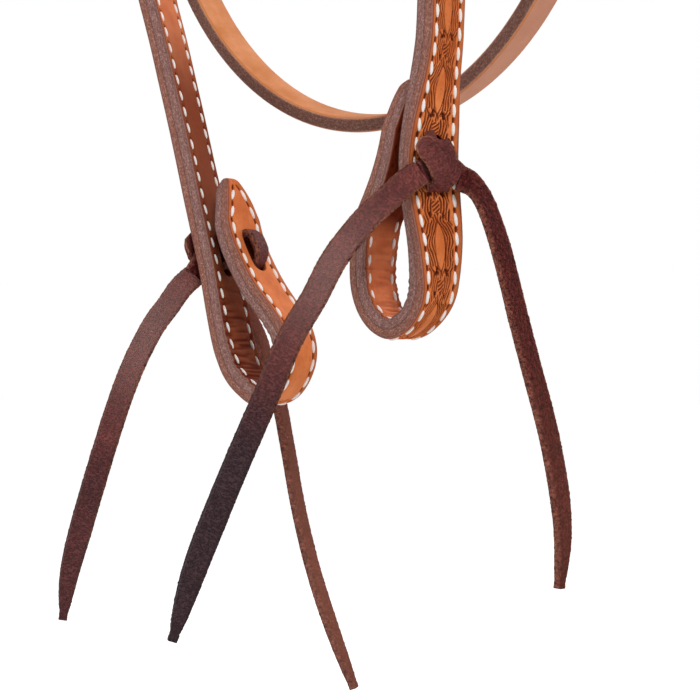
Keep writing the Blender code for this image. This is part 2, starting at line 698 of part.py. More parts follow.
def make_tail(name, exit_at, route, facing, material):
    """A free flat tail, along its own route, with its face turned one way."""
    points = [exit_at + Vector(offset) for offset in smooth(route, 3)]
    acrosses = [facing.cross(along) for along in tangents(points)]
    widths = end_widths(points, LACE_WIDTH, 6 * LACE_WIDTH)
    strap(name, points, frames(points, acrosses), widths, even(LACE_THICKNESS, points), material)


def make_throat(materials):
    """The throatlatch: one strap under the throat, buckled to a billet on each side."""
    billet_half = BILLET_THICKNESS / 2
    radius = buckle_radius
    wrap = radius + BAR_CLEARANCE + THROAT_SKIVED / 2
    leg = CLEARANCE / 2 + THROAT_SKIVED / 2
    lift = BUCKLE_LIFT
    under_bar = lift - radius - CLEARANCE - billet_half
    over_wrap = wrap + THROAT_SKIVED / 2 + CLEARANCE + billet_half
    flat = THROAT_THICKNESS / 2 + CLEARANCE + billet_half + CLEARANCE
    inset = -under_bar
    bar = throat_bar
    across = Matrix.Rotation(THROAT_LEAN, 3, "X") @ ALONG_Y
    line = []
    sizes = []
    for side in (1, -1):
        plain = Hang(side, 0, throat_y, throat_z, THROAT_LEAN)
        hang = Hang(side, -THROAT_FLARE, throat_y, throat_z, THROAT_LEAN)
        end = "near" if side > 0 else "off"
        rows = billet_rows(bar, throat_billet_length, under_bar + inset, over_wrap + inset,
                           flat + inset)
        make_billet("throat_billet_" + end, hang, rows, throat_billet_length, THROAT_WIDTH,
                    BILLET_THICKNESS, HOLE_COUNT - 1, materials["billet"])
        hang.start = hang.at(0, inset)
        make_buckle("throat_buckle_" + end, hang, bar,
                    THROAT_WIDTH / 2 + BUCKLE_SIDE_ROOM + radius, BUCKLE_LENGTH, lift, radius,
                    materials["steel"])
        make_tongue("throat_tongue_" + end, hang, bar, BUCKLE_LENGTH, lift, tongue_radius, radius,
                    over_wrap, materials["steel"])
        keeper("throat_keeper_" + end, hang, bar + throat_turn_back + KEEPER_WIDTH,
               THROAT_WIDTH / 2, -THROAT_THICKNESS / 2, flat + billet_half, CLEARANCE,
               materials["billet"])
        ends = [hang.at(down, out) for down, out in wrap_rows(bar, throat_turn_back, leg, wrap)]
        thin_end = hang.at(bar + throat_turn_back + CLEARANCE, leg)
        straight = [hang.at(down, 0) for down in
                    (bar + throat_turn_back + THROAT_THICKNESS, throat_billet_length)]
        half = abs(straight[-1].x)
        drop = throat_billet_length * math.cos(THROAT_FLARE)
        sweep = THROAT_BOTTOM + throat_z - drop
        bow = []
        for step in range(1, 10 if side > 0 else 9):
            angle = math.radians(10) * step
            bow.append(plain.at(drop + sweep * math.sin(angle),
                                half * math.cos(angle) - HEAD_HALF_WIDTH))
        part = ends + [thin_end] + straight + bow
        thick = even(THROAT_SKIVED, ends + [thin_end]) + even(THROAT_THICKNESS, straight + bow)
        if side > 0:
            line += part
            sizes += thick
        else:
            line += list(reversed(part))
            sizes += list(reversed(thick))
    piece = strap("throatlatch", line, frames(line, even(across, line)),
                  even(THROAT_WIDTH, line), sizes, materials["billet"])
    for side, end in ((1, "near"), (-1, "off")):
        hang = Hang(side, -THROAT_FLARE, throat_y, throat_z, THROAT_LEAN)
        cut(piece, oblong("throat_slot_" + end, hang.at(bar, inset), hang.down, hang.across,
                          hang.out, 3.6 * wrap, TONGUE_WIRE + 2 * BAR_CLEARANCE, 4 * wrap,
                          materials["billet"]))


def make_materials():
    return {
        "face": finish("tooled face leather", (0.48, 0.16, 0.055), 0.45, 0),
        "lining": finish("lining leather", (0.62, 0.25, 0.10), 0.5, 0),
        "billet": finish("plain harness leather", (0.58, 0.24, 0.10), 0.5, 0),
        "lace": finish("plum latigo lace", (0.10, 0.045, 0.045), 0.55, 0),
        "steel": finish("stainless steel", (0.62, 0.61, 0.58), 0.25, 1),
    }


def main():
    clear_scene()
    materials = make_materials()
    make_crown(materials)
    make_browband(materials)
    near = make_cheek("near", 1, CHEEK_LEAN_NEAR, BIT_SPREAD_NEAR, BIT_DEPTH_NEAR, NEAR_SHARES,
                      near_bar, TIE_HEIGHT_NEAR, materials)
    off = make_cheek("off", -1, CHEEK_LEAN_OFF, BIT_SPREAD_OFF, BIT_DEPTH_OFF, OFF_SHARES,
                     off_bar, TIE_HEIGHT_OFF, materials)
    make_throat(materials)
    for end, side, (points, acrosses), tails in (
            ("near", 1, near,
             (("front", -1, NEAR_FRONT_EXIT, NEAR_FRONT_ROUTE, TAIL_FACING),
              ("rear", 1, NEAR_REAR_EXIT, NEAR_REAR_ROUTE, TURNED_TAIL_FACING))),
            ("off", -1, off,
             (("front", -1, OFF_FRONT_EXIT, OFF_FRONT_ROUTE, TAIL_FACING),
              ("rear", 1, OFF_REAR_EXIT, OFF_REAR_ROUTE, EDGEWISE_TAIL_FACING)))):
        tie = TIE_HEIGHT_NEAR if side > 0 else TIE_HEIGHT_OFF
        knot_at, down, across = make_tie(end, side, points, acrosses, tie, materials)
        for name, sign, turn, route, facing in tails:
            exit_at = (knot_at + across * sign * math.cos(turn) * (KNOT_WIDTH / 2 + 3 * CLEARANCE)
                       + down * math.sin(turn) * (KNOT_HEIGHT / 2 + 3 * CLEARANCE))
            make_tail(f"tie_tail_{name}_{end}", exit_at, route,
                      Matrix.Rotation(facing, 3, "Z") @ -ALONG_Y, materials["lace"])



main()
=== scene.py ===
import math
import random
from bisect import bisect_right

import bmesh
import bpy
from mathutils import Matrix, Vector, noise
from mathutils.geometry import interpolate_bezier


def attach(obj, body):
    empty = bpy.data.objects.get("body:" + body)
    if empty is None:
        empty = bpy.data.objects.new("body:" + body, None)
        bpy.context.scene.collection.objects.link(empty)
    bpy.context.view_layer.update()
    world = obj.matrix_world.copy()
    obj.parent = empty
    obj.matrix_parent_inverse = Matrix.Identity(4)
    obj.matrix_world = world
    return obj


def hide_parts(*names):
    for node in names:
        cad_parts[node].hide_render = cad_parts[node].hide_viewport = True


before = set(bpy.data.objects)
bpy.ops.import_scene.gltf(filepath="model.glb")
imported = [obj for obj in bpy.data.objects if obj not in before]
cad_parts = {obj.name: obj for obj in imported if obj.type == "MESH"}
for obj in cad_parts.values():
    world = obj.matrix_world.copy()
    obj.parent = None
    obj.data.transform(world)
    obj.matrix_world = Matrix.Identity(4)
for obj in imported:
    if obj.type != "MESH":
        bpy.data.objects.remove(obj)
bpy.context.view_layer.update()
random.seed(11)
nearOff = (("near", 1), ("off", -1))

# lines that the leather is laid along


class StrapLine:
    # a smooth line through points, with the direction across the strap at each or for all
    sampleCount = 900

    def __init__(self, points, acrosses, closed=False, flip=1):
        if isinstance(acrosses, Vector):
            acrosses = [acrosses] * len(points)
        self.points = [Vector(p) for p in points]
        self.acrosses = [Vector(a) for a in acrosses]
        self.closed = closed
        self.flip = flip
        count = len(self.points)
        gaps = [self.points[(i + 1) % count] - p for i, p in enumerate(self.points)]
        self.marks = [0.0]
        for gap in gaps if closed else gaps[:-1]:
            self.marks.append(self.marks[-1] + gap.length)
        self.length = self.marks[-1]
        self.slopes = []
        for i, after in enumerate(gaps):
            before = gaps[i - 1]
            if not closed and i in (0, count - 1):
                self.slopes.append((before if i else after).normalized())
            else:
                d0, d1 = before.length, after.length
                self.slopes.append((before / d0 * d1 + after / d1 * d0) / (d0 + d1))
        self.known = {}

    def at(self, s):
        # the point there, and the directions along, across and out
        key = round(s, 7)
        if key not in self.known:
            self.known[key] = self.work(s)
        return self.known[key]

    def work(self, s):
        count = len(self.points)
        if self.closed:
            s = s % self.length
        i = min(max(bisect_right(self.marks, s) - 1, 0), len(self.marks) - 2)
        gap = self.marks[i + 1] - self.marks[i]
        t = (s - self.marks[i]) / gap
        j = (i + 1) % count
        t2, t3 = t * t, t * t * t
        point = (self.points[i] * (2 * t3 - 3 * t2 + 1) + self.slopes[i] * gap * (t3 - 2 * t2 + t)
                 + self.points[j] * (3 * t2 - 2 * t3) + self.slopes[j] * gap * (t3 - t2))
        along = (self.points[i] * (6 * t2 - 6 * t) / gap + self.slopes[i] * (3 * t2 - 4 * t + 1)
                 + self.points[j] * (6 * t - 6 * t2) / gap + self.slopes[j] * (3 * t2 - 2 * t))
        along.normalize()
        across = self.acrosses[i].lerp(self.acrosses[j], unit(t))
        out = along.cross(across).normalized()
        return point, along, out.cross(along).normalized(), out * self.flip

    def samples(self):
        return [self.length * k / self.sampleCount for k in range(self.sampleCount + 1)]

    def passing(self, height, last=False):
        # how far along the line passes a height, first or last time
        found = 0.0
        places = self.samples()
        for a, b in zip(places, places[1:]):
            za, zb = self.at(a)[0].z, self.at(b)[0].z
            if min(za, zb) <= height <= max(za, zb):
                found = a + (b - a) * (height - za) / (zb - za)
                if not last:
                    break
        return found


def smoothRows(rows, steps):
    padded = [rows[0]] + list(rows) + [rows[-1]]
    result = []
    for first, start, end, last in zip(padded, padded[1:], padded[2:], padded[3:]):
        for step in range(steps):
            t = step / steps
            result.append(tuple(
                0.5 * (2 * b + (c - a) * t + (2 * a - 5 * b + 4 * c - d) * t**2
                       + (3 * b - a - 3 * c + d) * t**3)
                for a, b, c, d in zip(first, start, end, last)))
    result.append(tuple(rows[-1]))
    return result


def tangentsOf(points):
    last = len(points) - 1
    return [(points[min(i + 1, last)] - points[max(i - 1, 0)]).normalized()
            for i in range(len(points))]


def outsOf(points, acrosses):
    return [along.cross(across).normalized()
            for along, across in zip(tangentsOf(points), acrosses)]


def newObject(name, data):
    made = bpy.data.objects.new(name, data)
    bpy.context.scene.collection.objects.link(made)
    return made


# camera, as the photograph was taken
view = {"heading": math.radians(38.6), "place": (0.3812, -0.4645, -0.4286), "lens": 100}
right = Vector((math.cos(view["heading"]), math.sin(view["heading"]), 0))
forward = Vector((-math.sin(view["heading"]), math.cos(view["heading"]), 0))
camera = newObject("camera", bpy.data.cameras.new("camera"))
camera.data.lens = view["lens"]
camera.data.sensor_width = 36
camera.data.clip_start = 0.01
camera.matrix_world = Matrix.Translation(view["place"]) @ Matrix(
    (right, (0, 0, 1), -forward)).transposed().to_4x4()
bpy.context.scene.camera = camera
bpy.context.scene.view_settings.view_transform = "Standard"

# shader groups and materials


def toLinear(code):
    values = [int(code[i:i + 2], 16) / 255 for i in (1, 3, 5)]
    return tuple(v / 12.92 if v <= 0.04045 else ((v + 0.055) / 1.055) ** 2.4
                 for v in values) + (1,)


class Bench:
    # puts nodes in a tree and joins them
    def __init__(self, tree):
        self.tree = tree

    def node(self, kind, values=None, **settings):
        # a value is a socket to join, a number, a vector or the code of a colour
        made = self.tree.nodes.new(kind)
        for key, value in settings.items():
            setattr(made, key, value)
        for key, value in (values or {}).items():
            if isinstance(value, bpy.types.NodeSocket):
                self.tree.links.new(value, made.inputs[key])
            else:
                plain = toLinear(value) if isinstance(value, str) else value
                made.inputs[key].default_value = plain
        return made

    def math(self, operation, a, b=0.0, clamp=False):
        return self.node("ShaderNodeMath", {0: a, 1: b}, operation=operation,
                         use_clamp=clamp).outputs[0]

    def plus(self, a, b, clamp=False):
        return self.math("ADD", a, b, clamp)

    def times(self, a, b):
        return self.math("MULTIPLY", a, b)

    def mix(self, share, a, b):
        return self.node("ShaderNodeMix", {0: share, 6: a, 7: b}, data_type="RGBA").outputs[2]

    def coats(self, colour, *shares):
        # each share of a coat goes over what is there
        for share, coat in shares:
            colour = self.mix(share, colour, coat)
        return colour

    def span(self, value, low, high, toLow=0.0, toHigh=1.0):
        return self.node("ShaderNodeMapRange", {0: value, 1: low, 2: high, 3: toLow,
                                                4: toHigh}).outputs[0]

    def noise(self, vector, scale, detail=4.0, roughness=0.6):
        return self.node("ShaderNodeTexNoise", {"Vector": vector, "Scale": scale, "Detail": detail,
                                                "Roughness": roughness}).outputs["Fac"]

    def stretch(self, vector, scale):
        return self.node("ShaderNodeMapping", {"Vector": vector, "Scale": scale}).outputs[0]

    def streaks(self, vector, scale, detail, roughness=0.6):
        return self.noise(self.stretch(vector, scale), 1.0, detail, roughness)


def makeGroup(name, inputs, outputs):
    # a shader group, a bench in it, and what comes in
    group = bpy.data.node_groups.new(name, "ShaderNodeTree")
    for way, sockets in (("INPUT", inputs), ("OUTPUT", outputs)):
        for label, kind in sockets:
            group.interface.new_socket(label, in_out=way, socket_type="NodeSocket" + kind)
    bench = Bench(group)
    return group, bench, list(bench.node("NodeGroupInput").outputs)[:len(inputs)]


# fine pores, larger creases and a mottle for the dye, on any leather
grainGroup, bench, (vector, poreScale, creaseScale, creaseShare) = makeGroup("leatherGrain", (
    ("Vector", "Vector"), ("Pore Scale", "Float"), ("Crease Scale", "Float"),
    ("Crease Share", "Float")), (("Height", "Float"), ("Mottle", "Float")))
pores = bench.node("ShaderNodeTexVoronoi", {"Vector": vector, "Scale": poreScale})
poreHeight = bench.plus(pores.outputs["Distance"], bench.noise(vector, poreScale, 3.0))
creased = bench.times(bench.noise(vector, creaseScale, 5.0, 0.65), creaseShare)
bench.node("NodeGroupOutput", {0: bench.plus(bench.times(poreHeight, 0.5), creased),
                               1: bench.noise(vector, 90.0, 6.0, 0.62)})

# the cut edge: an orange bevel, a rubbed line, then specks and streaks; it darkens where the
# plies meet, and painted shade darkens its outer rim so that it looks rounded
edgeGroup, bench, (place, edge, seam, face, bevel, rubbed, cut, dark) = makeGroup("cutEdge", (
    ("Place", "Vector"), ("Edge", "Float"), ("Seam", "Float"), ("Face", "Color"),
    ("Bevel", "Color"), ("Rubbed", "Color"), ("Cut", "Color"), ("Dark", "Color")),
    (("Colour", "Color"), ("Height", "Float")))
streaks = bench.streaks(place, (700.0, 2300.0, 2300.0), 5.0, 0.7)
specks = bench.streaks(place, (1400.0, 2400.0, 2400.0), 3.0, 0.75)
tone = bench.coats(dark, (bench.span(streaks, 0.34, 0.60, 0.45, 1.0), cut),
                   (bench.span(specks, 0.50, 0.64, 0.0, 0.9), rubbed))
groove = bench.times(bench.span(seam, 0.12, 0.0, 0.0, 0.4), bench.span(edge, 0.8, 1.0))
rub = bench.times(bench.span(edge, 0.40, 0.62, 0.0, 0.5), bench.span(specks, 0.3, 0.5))
# painted shade along the top rim of the cut edge, so that it looks rounded
rim = bench.times(bench.span(seam, 0.66, 1.0, 0.0, 0.6), bench.span(edge, 0.7, 1.0))
colour = bench.coats(face, (bench.span(edge, 0.02, 0.30), bevel), (rub, rubbed),
                     (bench.span(edge, 0.70, 0.90), tone), (groove, dark), (rim, dark))
bench.node("NodeGroupOutput", {0: colour, 1: bench.plus(streaks, specks)})


class Looks(Bench):
    # a material; its place is along, across and out of the piece, and its marks are how deep, which
    # darkens cuts, creases and holes (painted shade in the tooling and awl holes), how far over the
    # cut edge, how much shade is painted (on plain leather a pinker tone instead), and how far out
    # from a seam
    def __init__(self, name, shine=0.08):
        self.material = bpy.data.materials.new(name)
        self.material.use_nodes = True
        super().__init__(self.material.node_tree)
        self.shader = self.tree.nodes["Principled BSDF"]
        self.shader.inputs["Specular IOR Level"].default_value = shine
        self.body = self.node("ShaderNodeTexCoord").outputs["Object"]
        self.place = self.node("ShaderNodeAttribute", attribute_name="place").outputs["Vector"]
        # the marks come in one attribute; painted shade and a painted highlight are among them
        wearAndPaintedLight = self.node("ShaderNodeAttribute", attribute_name="wearAndPaintedLight")
        parts = self.node("ShaderNodeSeparateColor", {0: wearAndPaintedLight.outputs["Color"]})
        self.marks = list(parts.outputs) + [wearAndPaintedLight.outputs["Alpha"]]

    def joined(self, colour, roughness, height, distance):
        bump = self.node("ShaderNodeBump", {"Height": height, "Distance": distance})
        for label, socket in (("Base Color", colour), ("Roughness", roughness),
                              ("Normal", bump.outputs[0])):
            self.tree.links.new(socket, self.shader.inputs[label])
        return self.material


def makeLeather(name, dials):
    bench = Looks(name, dials["shine"])
    depth, cut, shade, seam = bench.marks
    grain, mottle = bench.node("ShaderNodeGroup", {
        0: bench.body, 1: dials["pores"], 2: dials["creases"], 3: dials["creaseShare"]},
        node_tree=grainGroup).outputs
    specks = bench.noise(bench.body, 700.0, 5.0, 0.7)
    bark = bench.streaks(bench.place, (420.0, 2500.0, 900.0), 4.0, 0.7)
    deepTone = bench.mix(bench.span(bark, 0.42, 0.66), dials["cutDark"], dials["cutLight"])
    # painted shade: depth darkens the tooled cuts and awl holes, and the shade mark paints shade
    # (on plain leather a pinker tone)
    face = bench.coats(dials["low"], (bench.span(mottle, 0.36, 0.66), dials["high"]),
                       (bench.span(specks, 0.56, 0.70, 0.0, dials["specks"]), dials["speck"]),
                       (bench.span(depth, 0.05, 0.55), dials["groove"]),
                       (bench.span(depth, 0.60, 0.92), deepTone), (shade, dials["shade"]))
    colour, roughHeight = bench.node("ShaderNodeGroup", {
        0: bench.place, 1: cut, 2: seam, 3: face, 4: dials["bevel"], 5: dials["rubbed"],
        6: dials["cut"], 7: dials["line"]}, node_tree=edgeGroup).outputs
    rough = bench.span(mottle, 0.3, 0.7, dials["rough"] - 0.07, dials["rough"] + 0.07)
    return bench.joined(colour, bench.plus(rough, bench.times(cut, 0.18), True),
                        bench.plus(grain, bench.times(roughHeight, cut)), dials["bump"])


# groove, cutDark and cutLight are painted shade in tooled cuts, channels and awl holes; shade is
# painted shade (on plain leather a pinker tone); line darkens the ply joint and, as painted shade,
# the edge's rim
toolDials = {"low": "#cc6b38", "high": "#e6864d", "speck": "#94482a", "specks": 0.35,
             "cutDark": "#45190c", "cutLight": "#7a3417", "groove": "#8c4220",
             "shade": "#8a4426", "bevel": "#8a4530", "rubbed": "#ad877c", "cut": "#925f50",
             "line": "#4a2824", "pores": 2300.0, "creases": 300.0, "creaseShare": 0.5,
             "rough": 0.42, "bump": 0.00010, "shine": 0.03}
liningDials = dict(toolDials, low="#c96d44", high="#dc865a", speck="#9a5030", specks=0.25,
                   shade="#5f200e", cut="#8b645d", rubbed="#b08c83", bevel="#7c4636",
                   line="#45302f", rough=0.5, bump=0.00008, shine=0.01)
plainDials = dict(toolDials, low="#cf8350", high="#e39a6c", speck="#b4683a", specks=0.2,
                  shade="#c8907f", cut="#9a7064", rubbed="#c9a08c", bevel="#c9793f",
                  line="#4a2c26", rough=0.5, bump=0.00008)
tooledLeather = makeLeather("tooledLeather", toolDials)
liningLeather = makeLeather("liningLeather", liningDials)
plainLeather = makeLeather("plainLeather", plainDials)


def makeLaceMaterial(dials):
    # here the marks are the rough flesh side, the cut edge, painted shade deepening towards the
    # tip, and a painted highlight on the grain that also pales the suede
    bench = Looks("latigoLace", 0.10)
    flesh, cut, tipShade, wearAndPaintedLight = bench.marks
    grain, mottle = bench.node("ShaderNodeGroup", {0: bench.body, 1: 1700.0, 2: 900.0, 3: 1.6},
                               node_tree=grainGroup).outputs
    wrinkles = bench.streaks(bench.place, (1500.0, 700.0, 500.0), 3.0)
    ridges = bench.span(bench.math("ABSOLUTE", bench.math("SUBTRACT", wrinkles, 0.5)), 0.0, 0.05,
                        1.0, 0.0)
    # painted highlight on the ridges of the grain
    paintedHighlight = bench.times(bench.span(ridges, 0.0, 1.0, 0.28, 1.0),
                       bench.span(wearAndPaintedLight, 0.0, 1.0, 0.12, 0.95))
    fibre = bench.streaks(bench.place, (900.0, 1300.0, 1200.0), 6.0, 0.8)
    smooth = bench.coats(dials["grainLow"], (bench.span(mottle, 0.36, 0.66), dials["grainHigh"]),
                         (paintedHighlight, dials["paintedHighlight"]))
    suede = bench.coats(dials["suedeLow"], (bench.span(fibre, 0.40, 0.62), dials["suedeHigh"]),
                        (bench.span(wearAndPaintedLight, 0.0, 1.0, 0.0, 0.6), dials["raw"]))
    raw = bench.mix(bench.span(fibre, 0.40, 0.60), dials["suedeLow"], dials["raw"])
    # painted shade darkens it towards the tip
    colour = bench.coats(smooth, (flesh, suede), (bench.times(cut, 0.9), raw),
                         (tipShade, dials["dark"]))
    loose = bench.math("MAXIMUM", flesh, cut)
    rough = bench.plus(bench.span(ridges, 0.0, 1.0, 0.50, 0.34), bench.times(loose, 0.45), True)
    height = bench.plus(bench.plus(grain, bench.times(ridges, 1.6)),
                        bench.times(fibre, bench.times(loose, 4.0)))
    return bench.joined(colour, rough, height, 0.00024)


# the pale colour is a painted highlight on the grain, and the darkest is painted shade towards the
# tips
latigoLace = makeLaceMaterial({"grainLow": "#612725", "grainHigh": "#7d3b37", "paintedHighlight": "#bd9992",
                               "suedeLow": "#300d0f", "suedeHigh": "#8c3c36", "raw": "#c07a62",
                               "dark": "#3c3035"})


def makeThreadMaterial():
    bench = Looks("waxedThread")
    twist = bench.node("ShaderNodeTexWave", {
        "Vector": bench.stretch(bench.place, (1000.0, 1000.0, 1000.0)), "Scale": 0.6,
        "Distortion": 0.6}, bands_direction="DIAGONAL").outputs["Fac"]
    tone = bench.mix(bench.span(bench.noise(bench.body, 900.0), 0.35, 0.7), "#f8f1e8", "#ffffff")
    # painted shade in the grooves of the twist
    colour = bench.mix(bench.span(twist, 0.0, 0.35, 0.14, 0.0), tone, "#b99b86")
    return bench.joined(colour, bench.span(twist, 0.0, 1.0, 0.5, 0.6), twist, 0.00012)


def makeSteelMaterial():
    bench = Looks("satinSteel")
    bench.shader.inputs["Metallic"].default_value = 1
    lines = bench.streaks(bench.place, (300.0, 6000.0, 6000.0), 3.0)
    colour = bench.mix(bench.span(lines, 0.3, 0.7), "#a9a69f", "#cdcac3")
    rough = bench.span(bench.noise(bench.body, 500.0), 0.3, 0.7, 0.2, 0.34)
    return bench.joined(colour, rough, lines, 0.00001)


waxedThread = makeThreadMaterial()
satinSteel = makeSteelMaterial()
print("materials ready")

# making and laying leather


def unit(value):
    # held between 0 and 1
    return min(max(value, 0), 1)


def ease(share):
    share = unit(share)
    return share * share * (3 - 2 * share)


def ramp(value, low, high):
    return ease((value - low) / (high - low))


def arc(a, b, radius, start, stride, count):
    angles = [math.radians(start + stride * step) for step in range(count)]
    return [(a + radius * math.cos(angle), b + radius * math.sin(angle)) for angle in angles]


def flatSection(width, low, high, topSteps, corner, lowCorner, sideBulge=0.0):
    # outline of a strap cut across: y across, z through; anticlockwise from the lower left
    half = width / 2
    middle = (low + high) / 2
    return (arc(lowCorner - half, low + lowCorner, lowCorner, 180, 45, 3)
            + arc(half - lowCorner, low + lowCorner, lowCorner, 270, 45, 3)
            + [(half + sideBulge, middle)]
            + arc(half - corner, high - corner, corner, 0, 22.5, 5)
            + [((half - corner) * (1 - 2 * step / topSteps), high) for step in range(1, topSteps)]
            + arc(corner - half, high - corner, corner, 90, 22.5, 5)
            + [(-half - sideBulge, middle)])


def sweep(section, length, stride, closed=False):
    # a grid rolled into the section, straight along x, ready to be shaped, punched and laid
    bm = bmesh.new()
    steps = int(length / stride)
    around = len(section)
    bmesh.ops.create_grid(bm, x_segments=steps, y_segments=around, size=0.5)
    for vert in bm.verts:
        along = round((vert.co.x + 0.5) * steps)
        y, z = section[round((vert.co.y + 0.5) * around) % around]
        vert.co = (length * along / steps, y, z)
    seam = [v for v in bm.verts if v.is_boundary and (v.co.yz - Vector(section[0])).length < 1e-7]
    bmesh.ops.remove_doubles(bm, verts=seam, dist=0.000001)
    if closed:
        bmesh.ops.delete(bm, geom=[v for v in bm.verts if v.co.x > length - 0.0000001],
                         context="VERTS")
    rims = [e for e in bm.edges if e.is_boundary]
    if closed:
        bmesh.ops.bridge_loops(bm, edges=rims)
    else:
        bmesh.ops.holes_fill(bm, edges=rims, sides=0)
    return bm


def meshFrom(name, bm):
    mesh = bpy.data.meshes.new(name)
    bmesh.ops.recalc_face_normals(bm, faces=bm.faces)
    bm.to_mesh(mesh)
    bm.free()
    return mesh


def punch(bm, holes):
    # oblong holes through a flat blank: (along, length, width) each
    cutter = bmesh.new()
    depth = 0.02
    for along, length, width in holes:
        made = bmesh.ops.create_cube(cutter, size=1)["verts"]
        bmesh.ops.scale(cutter, vec=(length, width, depth), verts=made)
        posts = {e for v in made for e in v.link_edges
                 if abs(e.verts[0].co.z - e.verts[1].co.z) > depth / 2}
        bmesh.ops.translate(cutter, vec=(along, 0, 0), verts=made)
        bmesh.ops.bevel(cutter, geom=list(posts), offset=width * 0.495, segments=7, profile=0.5,
                        material=-1, affect="EDGES")
    blank, tool = [newObject(name, meshFrom(name, source))
                   for name, source in (("blank", bm), ("cutter", cutter))]
    boolean = blank.modifiers.new("punch", "BOOLEAN")
    boolean.operation = "DIFFERENCE"
    boolean.solver = "EXACT"
    boolean.object = tool
    graph = bpy.context.evaluated_depsgraph_get()
    result = bmesh.new()
    result.from_mesh(blank.evaluated_get(graph).to_mesh())
    for used in (blank, tool):
        bpy.data.meshes.remove(used.data)
    return result


def layAlong(bm, line, shape=None, relief=None):
    # bends the flat work round its line; marks and places are kept for the materials
    placeLayer = bm.verts.layers.float_vector.new("place")
    markLayer = bm.verts.layers.float_color.new("wearAndPaintedLight")
    for vert in bm.verts:
        s, t, h = vert.co
        vert[placeLayer] = (s, t, h)
        wide = shape(s) if shape else 1.0
        lift, push, vert[markLayer] = relief(s, t, h) if relief else (0.0, 0.0, (0, 0, 0, 1))
        point, _, across, out = line.at(s)
        vert.co = point + across * (t * wide + push) + out * (h + lift)


def addPiece(name, bm, material, body, *nodes, sharp=48):
    mesh = meshFrom(name, bm)
    mesh.materials.append(material)
    mesh.polygons.foreach_set("use_smooth", [True] * len(mesh.polygons))
    mesh.set_sharp_from_angle(angle=math.radians(sharp))
    piece = newObject(name, mesh)
    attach(piece, body)
    if nodes:
        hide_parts(*nodes)
    return piece


def edgeMark(half, corner, t):
    # 1 on the cut side of the leather, fading over its rounded corner
    return unit((abs(t) - (half - corner)) / corner)


def creaseMark(half, inset, t):
    # 1 in the line pressed beside an edge
    return 1 - ramp(abs(abs(t) - half + inset), 0.0001, 0.0004)


stitchDials = {"pitch": 0.0055, "long": 0.0040, "thread": 0.0012, "slant": 0.10, "stray": 0.05}


def makeStitchShape():
    # one stitch: a plump little loaf that lies along x
    bm = bmesh.new()
    bmesh.ops.create_uvsphere(bm, u_segments=8, v_segments=6, radius=0.5)
    bmesh.ops.rotate(bm, verts=bm.verts, matrix=Matrix.Rotation(math.pi / 2, 3, "Y"))
    thread = stitchDials["thread"]
    bmesh.ops.scale(bm, verts=bm.verts, vec=(stitchDials["long"], thread, thread))
    return meshFrom("stitch", bm)


stitchShape = makeStitchShape()


# where the straps hang, as the solids have them
head = {"halfWidth": 0.088, "flexZ": -0.152, "cheekY": -0.00935, "throatY": 0.01095,
        "throatZ": -0.1526, "gap": 0.0003}
alongY = Vector((0, 1, 0))


class Hang:
    # down along a billet, outward from the head, and across
    def __init__(self, side, lean, y, z, tilt=0.0):
        turn = Matrix.Rotation(tilt, 3, "X")
        self.side = side
        self.start = Vector((side * head["halfWidth"], y, z))
        self.down = turn @ Vector((-side * math.sin(lean), 0, -math.cos(lean)))
        self.out = turn @ Vector((side * math.cos(lean), 0, -math.sin(lean)))
        self.across = turn @ alongY

    def at(self, down, out, across=0.0):
        return self.start + self.down * down + self.out * out + self.across * across


def roundedOutline(halfA, halfB, corner, steps):
    outline = []
    for quarter, (signA, signB) in enumerate(((1, 1), (-1, 1), (-1, -1), (1, -1))):
        outline += arc(signA * (halfA - corner), signB * (halfB - corner), corner, 90 * quarter,
                       90 / steps, steps + 1)
    return outline


# which of the rows below is behind the bar
wrapMiddle = 7


def wrapRows(bar, turnBack, leg, wrap):
    # how far down and out a strap's turned back end lies, and its way round the bar
    rows = [(bar + turnBack, -leg), (bar + 0.6 * turnBack, -leg), (bar + 2.6 * wrap, -leg)]
    rows += [(down, -out) for down, out in arc(bar, 0, wrap, 60, 30, 9)]
    return rows + [(bar + 2.6 * wrap, leg)]


# barbed wire between two stitch rows, in millimetres. An arm: where it begins and ends along,
# its reach, curve, thickness and relief. A cut: along, across, length, width and tilt
tooling = {"pitch": 22.8, "band": 4.4, "border": 4.9, "depth": 0.50, "belly": 1.9, "start": 10.5,
           "run": 14.0, "aside": -0.3, "wall": 0.35, "rim": 0.55, "strand": 0.9, "relief": 0.48,
           "twist": (4.2, 7.8), "twistHalf": 1.25, "twistPitch": 1.15,
           "arms": ((5.0, 0.4, 2.9, 1.15, 0.42, 0.56), (7.0, 10.6, 2.8, 0.8, 0.40, 0.54)),
           "cuts": ((1.7, -1.55, 1.5, 0.66, 0.25), (2.0, 2.35, 1.3, 0.75, -0.2),
                    (8.6, 2.1, 1.5, 0.5, 0.2), (8.2, -1.9, 1.0, 0.4, -0.2))}


def ridge(distance, width):
    # a round wire: 1 on its middle, 0 beside it
    return max(1 - (distance / width) ** 2, 0)


def wave(turns):
    return 0.5 + 0.5 * math.cos(2 * math.pi * turns)


